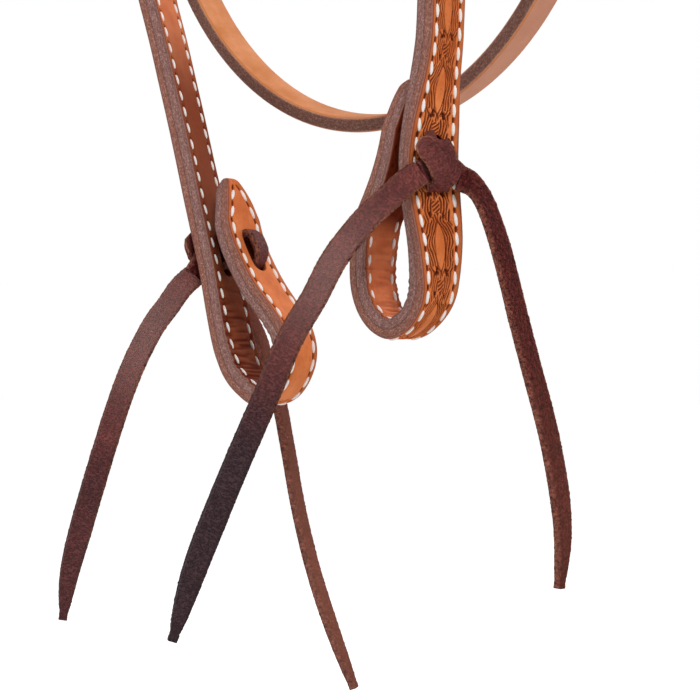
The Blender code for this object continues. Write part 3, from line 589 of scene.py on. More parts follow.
def barbedWire(s, t, scale):
    # height beside the face, and how much painted shade darkens the cut
    u = s * 1000 / scale % tooling["pitch"]
    x = t * 1000 / scale - tooling["aside"]
    side = abs(x)
    depth = tooling["depth"]
    along = (u - tooling["start"]) % tooling["pitch"]
    belly = 0.0
    if along < tooling["run"]:
        belly = tooling["belly"] * math.sin(math.pi * along / tooling["run"]) ** 0.65
    reach = min(belly + tooling["band"], tooling["border"]) + 0.15 * math.sin(u * 2.1 + x)
    if side > reach:
        return 0.0, 0.0
    wall = ease((reach - side) / tooling["wall"])
    if side < belly:
        rim = (belly - side) / tooling["rim"]
        height = (depth + 0.06) * ease(rim) - depth
        dark = 0.9 * (1 - ease(rim * 1.5))
    else:
        drift = (0.42 * math.sin(2 * math.pi * u / 9.5 + (1.3 if x > 0 else 0))
                 + 0.35 * noise.noise((u * 0.4, x * 0.7, 3.1)))
        strand = wave((side - belly + drift) / tooling["strand"])
        height = tooling["relief"] * strand - depth
        dark = (1 - strand) ** 1.15
    for begin, end, length, curve, thick, raised in tooling["arms"]:
        if min(begin, end) < u < max(begin, end):
            wire = ridge(side - length * ((u - begin) / (end - begin)) ** curve, thick)
            if wire > 0:
                height = max(height, raised * wire - depth)
                dark = min(dark, 0.8 - 0.95 * wire)
    if tooling["twist"][0] < u < tooling["twist"][1] and side < tooling["twistHalf"]:
        rib = wave((u + 0.75 * x) / tooling["twistPitch"])
        height = (0.15 + 0.5 * rib) * ridge(side, 1.3) - depth
        dark = 0.9 * (1 - rib)
    for along, across, long, wide, tilt in tooling["cuts"]:
        hole = 1 - math.hypot((u - along) / long, (x - across + tilt * (u - along)) / wide)
        if hole > 0:
            height = min(height, -depth - 0.25 * ease(hole * 2.5))
            dark = max(dark, ease(hole * 4))
    return height * wall * 0.001 * scale, unit(dark) * wall


ply = {"corner": 0.0009, "lowCorner": 0.0001, "rough": 0.00009, "channel": 0.00025,
       "awl": 0.0005, "fade": 0.003, "tip": 0.0026}


def spaced(span):
    # how many stitches fill a row, and how far apart
    count = max(1, round((span[1] - span[0]) / stitchDials["pitch"]))
    return count, (span[1] - span[0]) / count


def stitchedFace(rowAt, span, half, low, high, toolSpan=None, toolScale=1.0,
                 wrinkleAt=None, shadeAt=None, shape=None, tipAt=None):
    # the top of a stitched strap: channels, awl holes, rubbed edges and tooling
    start, end = span
    stride = spaced(span)[1]

    def relief(s, t, h):
        edge = edgeMark(half, ply["corner"], t)
        seam = unit((h - low) / (high - low))
        past = (s - tipAt) / ply["tip"] + 1 if tipAt else 0
        thinned = (h - low) * (1 - math.sqrt(max(1 - past * past, 0.04))) if past > 0 else 0.0
        if h < high - 0.0002 - ply["corner"] * 0.2:
            outside = 1.0 if abs(t) > half * 0.9 else 0.0
            rough = ply["rough"] * noise.noise((s * 700, h * 900, t * 100)) * edge
            return -thinned, math.copysign(rough, t), (1 - outside, outside, 0, seam)
        lift, dark = -thinned, 0.0
        if toolSpan and toolSpan[0] < s < toolSpan[1]:
            fade = (ramp(s, toolSpan[0], toolSpan[0] + ply["fade"])
                    * ramp(toolSpan[1] - s, 0, ply["fade"]))
            cut, dark = barbedWire(s - toolSpan[2], t, toolScale)
            lift += cut * fade
            dark *= fade
        if start - stride / 2 < s < end + stride / 2:
            near = abs(abs(t) * (shape(s) if shape else 1.0) - rowAt(s))
            channel = 1 - ramp(near, 0.0005, 0.0010)
            phase = ((s - start) / stride) % 1.0
            hole = 1 - ramp(math.hypot(min(phase, 1 - phase) * stride, near * 1.9), 0.0006, 0.0012)
            lift -= ply["channel"] * channel + ply["awl"] * hole
            # painted shade in the channels and awl holes
            dark = max(dark * (1 - channel), 0.03 * channel, hole)
        if wrinkleAt:
            lift += wrinkleAt(s, t)
        return lift, 0.0, (dark, edge, shadeAt(s, t) if shadeAt else 0.0, seam)
    return relief


def sewRows(name, body, line, rowAt, span, height, size=1.0):
    # the stitches of two rows
    bm = bmesh.new()
    count, stride = spaced(span)
    stray = stitchDials["stray"]
    for side in (-1, 1):
        for k in range(count):
            s = span[0] + (k + 0.5) * stride
            point, along, across, out = line.at(s)
            place = point + across * (side * rowAt(s)) + out * height
            run = side * (rowAt(s + 0.001) - rowAt(s - 0.001)) / 0.002
            tilt = math.atan(run) + stitchDials["slant"] + random.uniform(-stray, stray)
            stitch = stitchShape.copy()
            stitch.transform(Matrix.Translation(place)
                             @ Matrix((along, across, out)).transposed().to_4x4()
                             @ Matrix.Rotation(tilt, 4, "Z") @ Matrix.Scale(size, 4))
            bm.from_mesh(stitch)
            bpy.data.meshes.remove(stitch)
    addPiece(name, bm, waxedThread, body)


def makePlies(body, points, across, dials, lining, face, faceNode):
    # the lining and the face of a band, each from low to high, with two rows of stitches
    half = dials["width"] / 2
    for kind, (low, high), material, node, flip in (
            ("Lining", lining, liningLeather, body + "_lining", -1),
            ("Face", face, tooledLeather, faceNode, 1)):
        line = StrapLine(points, across, flip=flip)
        bm = sweep(flatSection(dials["width"], low, high, 40, ply["corner"], ply["lowCorner"],
                               0.0001), line.length, dials["stride"])
        span = (dials["sewn"], line.length - dials["sewn"])
        tools = (dials["tooled"], line.length - dials["tooled"], 0.0) if flip > 0 else None

        def rowAt(s):
            return half - dials["inset"]
        layAlong(bm, line, relief=stitchedFace(rowAt, span, half, low, high, tools,
                                               dials["toolScale"]))
        addPiece(body + kind, bm, material, body, node)
        sewRows(body + kind + "Stitches", body, line, rowAt, span, high + 0.0001)


def wireRing(name, points, across, radius, body, node, closed=True):
    line = StrapLine(points, across, closed)
    bm = sweep(arc(0, 0, radius, 0, 20, 18), line.length, 0.0005, closed)
    layAlong(bm, line)
    addPiece(name, bm, satinSteel, body, node, sharp=60)


def leatherBand(name, centre, axisA, axisB, alongBand, halfA, halfB, thickness, width, corner,
                body, node, material):
    grown = thickness / 2
    outline = roundedOutline(halfA + grown, halfB + grown, corner + grown, 4)
    line = StrapLine([centre + axisA * a + axisB * b for a, b in outline], alongBand, True)
    bm = sweep(flatSection(width, -grown, grown, 12, 0.0005, 0.0003), line.length, 0.0008, True)

    def relief(s, t, h):
        crease = creaseMark(width / 2, 0.0016, t)
        lift = -0.0002 * crease if h > 0 else 0.0
        return lift, 0.0, (0.5 * crease, edgeMark(width / 2, 0.0005, t), 0, 1)
    layAlong(bm, line, relief=relief)
    addPiece(name, bm, material, body, node)


# crown
crown = {"rise": 0.090, "drop": 0.150, "flat": 0.006, "width": 0.0378, "lining": 0.0024,
         "stack": 0.0055, "stride": 0.0008, "sewn": 0.006, "inset": 0.0029, "tooled": 0.02,
         "toolScale": 2.6}


def makeCrown():
    half = head["halfWidth"] - crown["stack"] / 2
    arch = [Vector((crown["flat"], 0, 0))]
    for step in range(1, 19):
        angle = math.radians(5 * step)
        arch.append(Vector((crown["flat"] + (half - crown["flat"]) * math.sin(angle), 0,
                            crown["rise"] * (math.cos(angle) - 1))))
    arch.append(Vector((half, 0, -crown["drop"])))
    under = [Vector((-p.x, 0, p.z)) for p in reversed(arch)] + arch
    middle = crown["lining"] + head["gap"] / 2
    makePlies("crown", under, alongY, crown, (-middle, 0.0), (middle, crown["stack"]),
              "crown_outer")


makeCrown()
print("crown ready")

# browband
brow = {"width": 0.0190, "z": -0.118, "reach": 0.125, "face": 0.0026, "lining": 0.0022,
        "loop": 0.0024, "slide": 0.0006, "loopCorner": 0.0006, "stride": 0.0006, "sewn": 0.005,
        "inset": 0.0025, "tooled": 0.006, "toolScale": 1.3}


def makeBrowband():
    loopA = crown["stack"] / 2 + brow["slide"]
    loopB = crown["width"] / 2 + brow["slide"]
    for end, side in nearOff:
        leatherBand("browbandLoop_" + end, Vector((side * head["halfWidth"], 0, brow["z"])),
                    Vector((1, 0, 0)), alongY, Vector((0, 0, 1)), loopA, loopB, brow["loop"],
                    brow["width"], brow["loopCorner"], "browband", "browband_loop_" + end,
                    tooledLeather)
    front = -(loopB + brow["loop"] + head["gap"])
    bow = []
    for step in range(57):
        angle = math.radians(180) * step / 56
        bow.append(Vector((head["halfWidth"] * math.cos(angle),
                           front - brow["reach"] * math.sin(angle), brow["z"])))
    stack = brow["face"] + brow["lining"] + head["gap"]
    middle = -stack / 2 + brow["lining"]
    makePlies("browband", bow, Vector((0, 0, -1)), brow, (-middle, stack / 2),
              (middle, stack / 2), "browband_face")


makeBrowband()
print("browband ready")

# billets, buckles, tongues and keepers
hardware = {"wire": 0.00175, "length": 0.022, "sideRoom": 0.0006, "corner": 0.0030,
            "lift": 0.0086, "tongue": 0.0013, "barRoom": 0.0005, "keeperWidth": 0.0085,
            "keeper": 0.0017, "keeperCorner": 0.0006, "billet": 0.0034, "point": 0.012,
            "firstHole": 0.039, "holePitch": 0.019, "holeLength": 0.0085, "holeWidth": 0.0036}


def makeBillet(hang, bar, dials, overWrap, flat, holes, body, node):
    wire, half, halfWide = hardware["wire"], hardware["billet"] / 2, dials["width"] / 2
    begin = bar - 0.6 * hardware["length"]
    climb = 0.45 * hardware["length"]
    top = bar + wire
    settle = 6 * wire
    downs = [-half, 0.0] + [begin + (top + settle - begin) * k / 20 for k in range(21)]
    points = [hang.at(d, overWrap * ease((d - begin) / climb)
                      - (overWrap - flat) * ease((d - top) / settle))
              for d in downs + [dials["billet"]]]
    line = StrapLine(points, hang.across, flip=hang.side)
    places = [(half + hardware["firstHole"] + k * hardware["holePitch"], hardware["holeLength"],
               hardware["holeWidth"]) for k in range(holes)]
    bm = punch(sweep(flatSection(dials["width"], -half, half, 20, 0.0008, 0.0005), line.length,
                     0.0006), places)

    def shape(s):
        left = min((line.length - s) / hardware["point"], 1)
        return (0.5 + 0.5 * ramp(s, 0, 0.0016)) * max(left ** 0.62 if left > 0 else 0, 0.08)

    def relief(s, t, h):
        crease = creaseMark(halfWide, 0.0019, t)
        around = min(math.hypot(max(abs(s - place[0]) - 0.0025, 0), t) for place in places)
        rim = 1 - ramp(around, 0.0018, 0.0030)
        rounded = math.sqrt(max(1 - (1 - min(s / half, 1)) ** 2, 0.02))
        lift = h * (rounded - 1) - (0.0002 * crease if h > 0 else 0.0)
        return lift, 0.0, (0.45 * crease + 0.25 * rim, edgeMark(halfWide, 0.0008, t), 0.2 * rim, 1)
    layAlong(bm, line, shape, relief)
    addPiece("billet_" + node, bm, plainLeather, body, node)


def makeHardware(kind, end, hang, bar, width, overWrap, body):
    wire, length, lift, radius = (hardware[key] for key in ("wire", "length", "lift", "tongue"))
    half = width / 2 + hardware["sideRoom"] + wire
    points = [hang.at(bar - length / 2 + a, lift * (length / 2 - a) / length, b)
              for a, b in roundedOutline(length / 2, half, hardware["corner"], 8)]
    wireRing(f"{kind}Buckle_{end}", points, hang.down.cross(hang.across), wire, body,
             f"{kind}_buckle_{end}")
    eye = wire + hardware["barRoom"] + radius
    rest = lift + wire + head["gap"] + radius
    climb = overWrap + radius
    points = [hang.at(bar - down, out) for down, out in arc(0, 0, eye, -270, 13.5, 21)]
    for down, out in smoothRows([(-eye, climb / 2), (-eye - radius / 4, climb),
                                 (-eye - 2 * radius, climb + (rest - climb) / 2),
                                 (-length / 2, rest), (-length - radius, rest)], 4):
        point = hang.at(bar + down, max(out, 0))
        if (point - points[-1]).length > 0.0002:
            points.append(point)
    wireRing(f"{kind}Tongue_{end}", points, hang.across, radius, f"{kind}_tongue_{end}",
             f"{kind}_tongue_{end}", False)


def makeEnd(kind, end, hang, dials, bar, thick, under, over, holes, body, keepers):
    # a billet, its buckle and its keepers; hang then starts in the middle of the strap that
    # wraps the bar. Gives how far out the strap lies beside its middle and round the bar
    half = hardware["billet"] / 2
    wrap = hardware["wire"] + hardware["barRoom"] + thick / 2
    underBar = hardware["lift"] - hardware["wire"] - head["gap"] - half
    overWrap = wrap + thick / 2 + head["gap"] + half
    flat = over + head["gap"] + half
    makeBillet(hang, bar, dials, overWrap - underBar, flat - underBar, holes, body,
               f"{kind}_billet_{end}")
    hang.start = hang.at(0, -underBar)
    makeHardware(kind, end, hang, bar, dials["width"], overWrap, body)
    top = flat + half
    for name, node, down, room, rides in keepers:
        leatherBand(name + end, hang.at(bar + down, (top - under) / 2), hang.out, hang.across,
                    hang.down, (top + under) / 2 + room, dials["width"] / 2 + room,
                    hardware["keeper"], hardware["keeperWidth"], hardware["keeperCorner"], rides,
                    node + end, plainLeather)
    return head["gap"] / 2 + thick / 2, wrap


# cheeks
cheek = {"width": 0.0159, "face": 0.0031, "lining": 0.0027, "turnBack": 0.028,
         "billet": 0.118, "below": 0.006, "loopWidth": 0.0223, "reach": 0.0706,
         "twist": math.radians(26.0), "point": 0.015, "seam": 0.0005, "slotLength": 0.0155,
         "slotWidth": 0.0056, "rowInset": 0.0025}
cheekSides = {
    "near": {"lean": math.radians(12.0), "spread": 0.0485, "depth": 0.4222, "bar": 0.04325,
             "tie": 0.0462, "slotShift": 0.0016, "swell": 0.09, "tabAside": 0.0020,
             "liningShade": 0.0, "liningSewn": 0.036, "shares": (
                 (0.13, 1.33, 0.06), (0.10, 1.17, 0.06), (0.03, 1.01, 0.24), (-0.03, 0.85, 0.68),
                 (-0.07, 0.69, 0.92), (-0.03, 0.52, 0.96), (0.03, 0.36, 0.69), (0.02, 0.20, 0.27),
                 (-0.05, 0.11, 0.05), (-0.25, 0.035, -0.19), (-0.52, 0.0, -0.19),
                 (-0.77, 0.045, -0.15), (-0.91, 0.12, -0.04), (-0.97, 0.20, -0.04),
                 (-0.97, 0.28, 0.0), (-0.94, 0.37, 0.04), (-0.89, 0.45, 0.08), (-0.77, 0.53, 0.15),
                 (-0.66, 0.61, 0.20), (-0.57, 0.69, 0.30), (-0.50, 0.77, 0.40),
                 (-0.455, 0.85, 0.40), (-0.425, 0.93, 0.40), (-0.375, 1.03, 0.40))},
    "off": {"lean": math.radians(6.3), "spread": 0.0355, "depth": 0.4421, "bar": 0.06225,
            "tie": 0.0438, "slotShift": 0.0, "swell": 0.0, "tabAside": 0.0,
            "liningShade": 0.8, "liningSewn": 0.060, "shares": (
                (1.16, 1.78, 0.54), (0.96, 1.595, 0.54), (0.78, 1.41, 0.54), (0.60, 1.225, 0.54),
                (0.43, 1.04, 0.54), (0.26, 0.86, 0.46), (0.10, 0.70, 0.38), (-0.05, 0.545, 0.31),
                (-0.17, 0.39, 0.23), (-0.29, 0.24, 0.23), (-0.39, 0.155, 0.27),
                (-0.55, 0.075, 0.31), (-0.89, 0.0, 0.38), (-1.18, 0.023, 0.38),
                (-1.37, 0.10, 0.31), (-1.43, 0.183, 0.23), (-1.34, 0.273, 0.15),
                (-1.12, 0.363, 0.08), (-0.90, 0.44, 0.0), (-0.67, 0.54, 0.0),
                (-0.47, 0.65, 0.0), (-0.36, 0.746, 0.0), (-0.29, 0.83, 0.0), (-0.20, 0.90, 0.0),
                (-0.12, 0.95, 0.0))}}


def cheekLine(hang, dials):
    end = cheek["billet"] + cheek["below"]
    bar, turn = dials["bar"], cheek["turnBack"]
    rows = []
    tabAside = 0.0
    for across, rise, twist in smoothRows(dials["shares"], 2):
        if rise < 0.05:
            tabAside = dials["tabAside"]
        rows.append((Vector((hang.side * (dials["spread"] + across * cheek["loopWidth"]),
                             head["cheekY"] + tabAside * ramp(rise, 0.35, 0.85),
                             rise * cheek["reach"] - dials["depth"])), twist * cheek["twist"]))
    start = hang.at(end, 0)
    first, second = rows[0][0], rows[1][0]
    reach = (first - start).length * 0.4
    bend = interpolate_bezier(start, start + hang.down * reach,
                              first - (second - first).normalized() * reach, first, 6)
    points = [hang.at(bar + turn + (end - bar - turn) * step / 4, 0) for step in range(4)]
    twists = [0.0] * 4
    for step, point in enumerate(bend[:-1]):
        points.append(point)
        twists.append(rows[0][1] * step / 5)
    points += [point for point, _ in rows]
    twists += [twist for _, twist in rows]
    return points, [Vector((hang.side * math.sin(a), math.cos(a), 0)) for a in twists]


cheekLines = {}


def makeCheek(end, side):
    dials = cheekSides[end]
    hang = Hang(side, dials["lean"], head["cheekY"], head["flexZ"])
    body = "cheek_" + end
    bar = dials["bar"]
    stackHalf = head["gap"] / 2 + cheek["face"]
    leg, wrap = makeEnd("cheek", end, hang, cheek, bar, cheek["face"], stackHalf, stackHalf, 4,
                        body, (("fixedKeeper_", "fixed_keeper_", 0.018, head["gap"], body),
                               ("slidingKeeper_", "sliding_keeper_", 0.040, 0.0006,
                                "sliding_keeper_" + end)))
    points, acrosses = cheekLine(hang, dials)
    cheekLines[end] = StrapLine(points, acrosses, flip=side)
    height = min(p.z for p in points) + dials["tie"]
    outs = outsOf(points, acrosses)
    turned = [hang.at(d, o) for d, o in wrapRows(bar, cheek["turnBack"], leg, wrap)]
    lifted = [p + out * side * leg for p, out in zip(points, outs)]
    faceLine = StrapLine(turned + lifted, [alongY] * len(turned) + acrosses, flip=side)
    liningLift = head["gap"] / 2 + cheek["lining"] / 2
    core = [hang.at(bar + cheek["turnBack"] + head["gap"], 0)] + points[1:]
    lined = [p - out * side * liningLift for p, out in zip(core, outs)]
    liningLine = StrapLine(lined, acrosses, flip=-side)
    halfWide = cheek["width"] / 2
    for kind, line, low, high, material, topSteps, stride in (
            ("Face", faceLine, cheek["seam"] - leg, cheek["face"] / 2, tooledLeather, 72, 0.00027),
            ("Lining", liningLine, -liningLift - cheek["seam"], cheek["lining"] / 2,
             liningLeather, 34, 0.00036)):
        isFace = kind == "Face"
        bottom = min(line.samples()[:-1], key=lambda s: line.at(s)[0].z)
        onStrap, onTab = line.passing(height), line.passing(height, last=True)
        first, raised = 0.003, 0.0
        if isFace:
            first, raised = line.marks[len(turned)], dials["slotShift"]
            onStrap = next(s for s in line.samples() if s > first and line.at(s)[0].z <= height)
        holes = [(onStrap - raised, cheek["slotLength"] + raised, cheek["slotWidth"]),
                 (onTab, cheek["slotLength"], cheek["slotWidth"])]
        if isFace:
            holes.append((line.marks[wrapMiddle], 4.68 * wrap, hardware["holeWidth"]))
        bm = punch(sweep(flatSection(cheek["width"], low, high, topSteps, ply["corner"],
                                     ply["lowCorner"], 0.00012), line.length, stride), holes)

        def shape(s):
            tip = max(unit((line.length - s) / cheek["point"]) ** 0.6, 0.16)
            return tip * (1 + dials["swell"] * math.exp(-((s - onStrap) / 0.022) ** 2))

        def rowAt(s):
            return max(halfWide * shape(s) - cheek["rowInset"], 0.0002)

        def fold(s, t):
            return math.exp(-((s - bottom) / 0.030) ** 2) * noise.noise((s * 800, t * 120, 1.7))

        def wrinkles(s, t):
            return 0.0007 * fold(s, t)

        # painted shade on the lining: low on the strap, as a shadow in the gap behind the tie, and
        # in the hollows of its folds; the face is darker near its borders
        def shades(s, t):
            if isFace:
                return 0.4 * ramp(abs(t), halfWide - 0.0030, halfWide - 0.0015)
            # darker near the cut edges of the lining
            edgeDarkening = 0.5 * ramp(abs(t), halfWide - 0.0022, halfWide - 0.0009)
            paintedLowShade = dials["liningShade"] * ramp(s, bottom - 0.140, bottom - 0.100)
            shadowBehindTie = 0.97 * ramp(s, bottom + 0.026, bottom + 0.038)
            return min(max(paintedLowShade, edgeDarkening, shadowBehindTie) + 0.9 * max(-fold(s, t), 0), 1)
        span = (first, line.length - 0.0042)
        sewn = span if isFace else (first, bottom + dials["liningSewn"])
        tools = (first + 0.002, bottom + 0.006, onStrap + 0.0052) if isFace else None
        layAlong(bm, line, shape, stitchedFace(rowAt, span, halfWide, low, high, tools, 1.0,
                                               None if isFace else wrinkles, shades, shape,
                                               line.length))
        addPiece(f"cheek{kind}_{end}", bm, material, body, f"cheek_{kind.lower()}_{end}")
        sewRows(f"cheek{kind}Stitches_{end}", body, line, rowAt, sewn, high - 0.0002,
                1.0 if isFace else 0.85)
    return height


tieHeights = {end: makeCheek(end, side) for end, side in nearOff}
print("cheeks ready")

# throatlatch
throat = {"width": 0.0127, "thick": 0.0048, "skived": 0.0026, "lean": math.radians(4.8),
          "flare": math.radians(1.6), "edgeOn": math.radians(6.3), "bottom": 0.3565,
          "billet": 0.10205, "turnBack": 0.02405, "bar": 0.06225, "corner": 0.0010}


def makeThroat():
    bar, turnBack, halfThick = throat["bar"], throat["turnBack"], throat["thick"] / 2
    lineAcross = Matrix.Rotation(throat["lean"], 3, "X") @ alongY
    points = []
    acrosses = []
    for end, side in nearOff:
        plain = Hang(side, 0, head["throatY"], head["throatZ"], throat["lean"])
        hang = Hang(side, -throat["flare"], head["throatY"], head["throatZ"], throat["lean"])
        leg, wrap = makeEnd("throat", end, hang, throat, bar, throat["skived"], halfThick,
                            halfThick + head["gap"], 3, "throatlatch",
                            (("throatKeeper_", "throat_keeper_", turnBack + 0.0085, head["gap"],
                              "throatlatch"),))
        piece = [hang.at(d, o) for d, o in wrapRows(bar, turnBack, leg, wrap)]
        piece += [hang.at(bar + turnBack + head["gap"], leg),
                  hang.at(bar + turnBack + throat["thick"], 0), hang.at(throat["billet"], 0)]
        turned = [lineAcross] * len(piece)
        wide = abs(piece[-1].x)
        drop = throat["billet"] * math.cos(throat["flare"])
        sweepDown = throat["bottom"] + head["throatZ"] - drop
        for step in range(1, 19 if side > 0 else 18):
            angle = math.radians(5) * step
            piece.append(plain.at(drop + sweepDown * math.sin(angle),
                                  wide * math.cos(angle) - head["halfWidth"]))
            turned.append(Matrix.Rotation(throat["edgeOn"] * math.sin(angle) ** 2, 3, "X")
                          @ lineAcross)
        points += piece[::side]
        acrosses += turned[::side]
    line = StrapLine(points, acrosses)
    whole, corner = line.length, throat["corner"]
    inBar, ringEnd = line.marks[wrapMiddle], line.marks[wrapMiddle + 6]
    section = flatSection(throat["width"], -halfThick, halfThick, 16, corner, corner)
    bm = punch(sweep(section, whole, 0.0007), [(place, 0.0155, hardware["holeWidth"])
                                               for place in (inBar, whole - inBar)])
    skive = throat["skived"] / throat["thick"]

    def relief(s, t, h):
        thin = 1 - (1 - skive) * (1 - ramp(min(s, whole - s), ringEnd - 0.0005, ringEnd + 0.003))
        side = edgeMark(throat["width"] / 2, corner, t)
        rough = noise.noise((s * 900, t * 900, h * 900)) + noise.noise((s * 300, h * 500, 4.4))
        return (h * (thin - 1), math.copysign(0.00014 * rough * side, t),
                (0, side, 0.6 if h > 0 else 0, 1))
    layAlong(bm, line, relief=relief)
    addPiece("throatStrap", bm, plainLeather, "throatlatch", "throatlatch")


makeThroat()
print("throatlatch ready")

# ties: the lace through both slots, its knot, and two free tails
tie = {"width": 0.0076, "thick": 0.0022, "corner": 0.00045, "rows": 16, "inSlot": 0.0044,
       "arch": 0.0020, "knotWide": 0.0120, "knotHigh": 0.0145, "knotDeep": 0.0068}
# a tail's route from the knot is in millimetres, its facing and exit in degrees
# towards its tip a tail darkens with painted shade, and a painted highlight lies along it, which
# also pales the suede
tails = {
    "near_front": {"facing": 38.6, "exit": 15.0, "tipShade": 0.9, "sheenAndPaleSuede": (0.9, 0.26, 0.13), "route": (
        (0, 0, 0), (-2.4, -4.2, -3.2), (-4.6, -8.8, -7.6), (-8.5, -14.5, -13.8),
        (-13.8, -21.7, -24.9), (-18.6, -25, -35.9), (-23.8, -29.2, -47.4), (-29.2, -33.6, -63.9),
        (-34.9, -38.3, -80.9), (-40.4, -42.7, -97.9), (-46, -45.8, -114.4),
        (-51.2, -48.5, -132.9))},
    "near_rear": {"facing": 88.0, "exit": 25.0, "tipShade": 0.0, "sheenAndPaleSuede": (0.3, 0.9, 0.4), "route": (
        (0, 0, 0), (2.8, 2.6, -2.2), (6, 4, -7.2), (9.8, 4.8, -17), (12.3, 6.7, -28.5),
        (14.5, 8.4, -40), (18, 11.4, -57.5), (20.9, 14.9, -74.5), (22.8, 17.6, -92),
        (23, 18.9, -105), (21.7, 19, -118.5))},
    "off_front": {"facing": 38.6, "exit": 40.0, "tipShade": 0.45, "sheenAndPaleSuede": (1.0, 0.2, 0.2), "route": (
        (0, 0, 0), (-2.2, -4, -4.2), (-5.8, -5, -9), (-12.2, -5.6, -15.8), (-18.2, -8.3, -27.9),
        (-23, -10.5, -40.9), (-28.1, -13.8, -59.9), (-33.4, -16.5, -79.4), (-37.5, -18.2, -95.4),
        (-39.5, -19.1, -110))},
    "off_rear": {"facing": 108.0, "exit": 25.0, "tipShade": 0.0, "sheenAndPaleSuede": (0.85, 0.7, 0.9), "route": (
        (0, 0, 0), (0.9, 5.2, -4), (2.8, 10.4, -10), (5.8, 15.9, -21.2), (7.6, 18.5, -31.7),
        (10.1, 20.2, -40.2), (12.2, 22.4, -56.2), (15.1, 24.3, -75.7), (18.6, 27.3, -95.2),
        (23.5, 31.1, -114.7), (29.2, 36, -135))}}


def laceSection(width, thick):
    half, corner, steps = thick / 2, tie["corner"], tie["rows"]
    outline = []
    for side, begin in ((-1, 180), (1, 0)):
        middle = side * (width / 2 - corner)
        outline += arc(middle, side * (half - corner), corner, begin, 30, 4)
        outline += [(middle * (1 - 2 * step / steps), side * half) for step in range(1, steps)]
    return outline


def laceRelief(width, length, suedeOut, tipShade=0.0, sheenAndPaleSuede=(0.3, 0.1, 0.1)):
    # how deep painted shade runs to the tip comes first; then how strong, where and how long a
    # painted highlight lies, which also pales the suede
    def relief(s, t, h):
        side = unit((abs(t) - width / 2) / tie["corner"] + 2.0)
        suede = 1.0 if (h > 0) == suedeOut else 0.0
        clump = noise.noise((s * 900, t * 900, 5.5)) + 0.7 * noise.noise((s * 2100, t * 2100, 2.2))
        wrinkle = max(1 - 5 * abs(noise.noise((s * 1100, t * 620, 9.4))), 0)
        lift = 0.00024 * clump * suede + 0.00008 * wrinkle * (1 - suede)
        ragged = noise.noise((s * 800, h * 900, t)) + 0.6 * noise.noise((s * 2500, h * 2000, t))
        deep = tipShade * ramp(s / length, 0.36, 0.66)
        shine = sheenAndPaleSuede[0] * math.exp(-((s / length - sheenAndPaleSuede[1]) / sheenAndPaleSuede[2]) ** 2)
        return (math.copysign(lift, h), math.copysign(0.00022 * ragged * side, t),
                (suede, side * 0.9, deep, shine))
    return relief


def makeTail(end, way, exitAt):
    dials = tails[f"{end}_{way}"]
    points = [exitAt + Vector(p) * 0.001 for p in smoothRows(dials["route"], 3)]
    facing = Matrix.Rotation(math.radians(dials["facing"]), 3, "Z") @ -alongY
    line = StrapLine(points, [facing.cross(a) for a in tangentsOf(points)])
    bm = sweep(laceSection(tie["width"], tie["thick"]), line.length, 0.00032)

    def shape(s):
        # narrower towards the rounded tip
        share = min((line.length - s) / (4.5 * tie["width"]), 1)
        return max(math.sqrt(max(1 - (1 - share) ** 2, 0)), 0.38)
    layAlong(bm, line, shape, laceRelief(tie["width"], line.length, way == "rear", dials["tipShade"],
                                         dials["sheenAndPaleSuede"]))
    piece = addPiece(f"laceTail_{end}_{way}", bm, latigoLace, "cheek_" + end,
                     f"tie_tail_{way}_{end}")
    path = [line.at(line.length * k / 60)[0] for k in range(61)]


def makeTie(end):
    line = cheekLines[end]
    body = "cheek_" + end
    strapAt, strapDown, strapAcross, strapOut = line.at(line.passing(tieHeights[end]))
    tabAt, tabUp, tabAcross, tabOut = line.at(line.passing(tieHeights[end], last=True))
    stackHalf = head["gap"] / 2 + cheek["face"]
    room = math.sqrt((cheek["slotWidth"] / 2 - head["gap"]) ** 2 - (tie["inSlot"] / 2) ** 2)
    run = (cheek["slotLength"] - cheek["slotWidth"]) / 2 + room - tie["thick"] / 2 - head["gap"]
    skin = stackHalf + tie["thick"] / 2
    rows = []
    acrosses = []
    for onTab, rise, out in (
            (False, -1, skin + tie["thick"]), (False, -1, -stackHalf), (True, -1, -stackHalf),
            (True, -0.92, skin + tie["arch"] * 0.3), (True, -0.5, skin + tie["arch"] * 0.9),
            (True, 0, skin + tie["arch"]), (True, 0.5, skin + tie["arch"] * 0.9),
            (True, 0.92, skin + tie["arch"] * 0.3), (True, 1, -stackHalf),
            (False, 1, -stackHalf), (False, 1, skin + tie["thick"])):
        if onTab:
            rows.append(tabAt + tabUp * (run * rise) + tabOut * out)
        else:
            rows.append(strapAt - strapDown * (run * rise) + strapOut * out)
        acrosses.append(tabAcross if onTab else strapAcross)
    bight = StrapLine(rows, acrosses)
    bm = sweep(laceSection(tie["inSlot"], tie["thick"]), bight.length, 0.0004)
    grainOut = tabUp.cross(tabAcross).dot(tabOut) > 0

    def shape(s):
        return 1 + 0.4 * math.exp(-((s - bight.length / 2) / 0.0045) ** 4)
    layAlong(bm, bight, shape, laceRelief(tie["inSlot"], bight.length, not grainOut))
    addPiece("laceBight_" + end, bm, latigoLace, body, "tie_" + end)
    knotAt = strapAt + strapOut * (stackHalf + head["gap"] + tie["knotDeep"] / 2)
    exits = {}
    for way, sign in (("front", -1), ("rear", 1)):
        turn = math.radians(tails[f"{end}_{way}"]["exit"])
        beside = math.cos(turn) * (tie["knotWide"] / 2 + 3 * head["gap"])
        below = math.sin(turn) * (tie["knotHigh"] / 2 + 3 * head["gap"])
        exits[way] = knotAt + strapAcross * sign * beside + strapDown * below
        makeTail(end, way, exits[way])
    makeKnot(end, body, strapAt + strapOut * stackHalf, -strapDown, strapAcross, strapOut, exits)


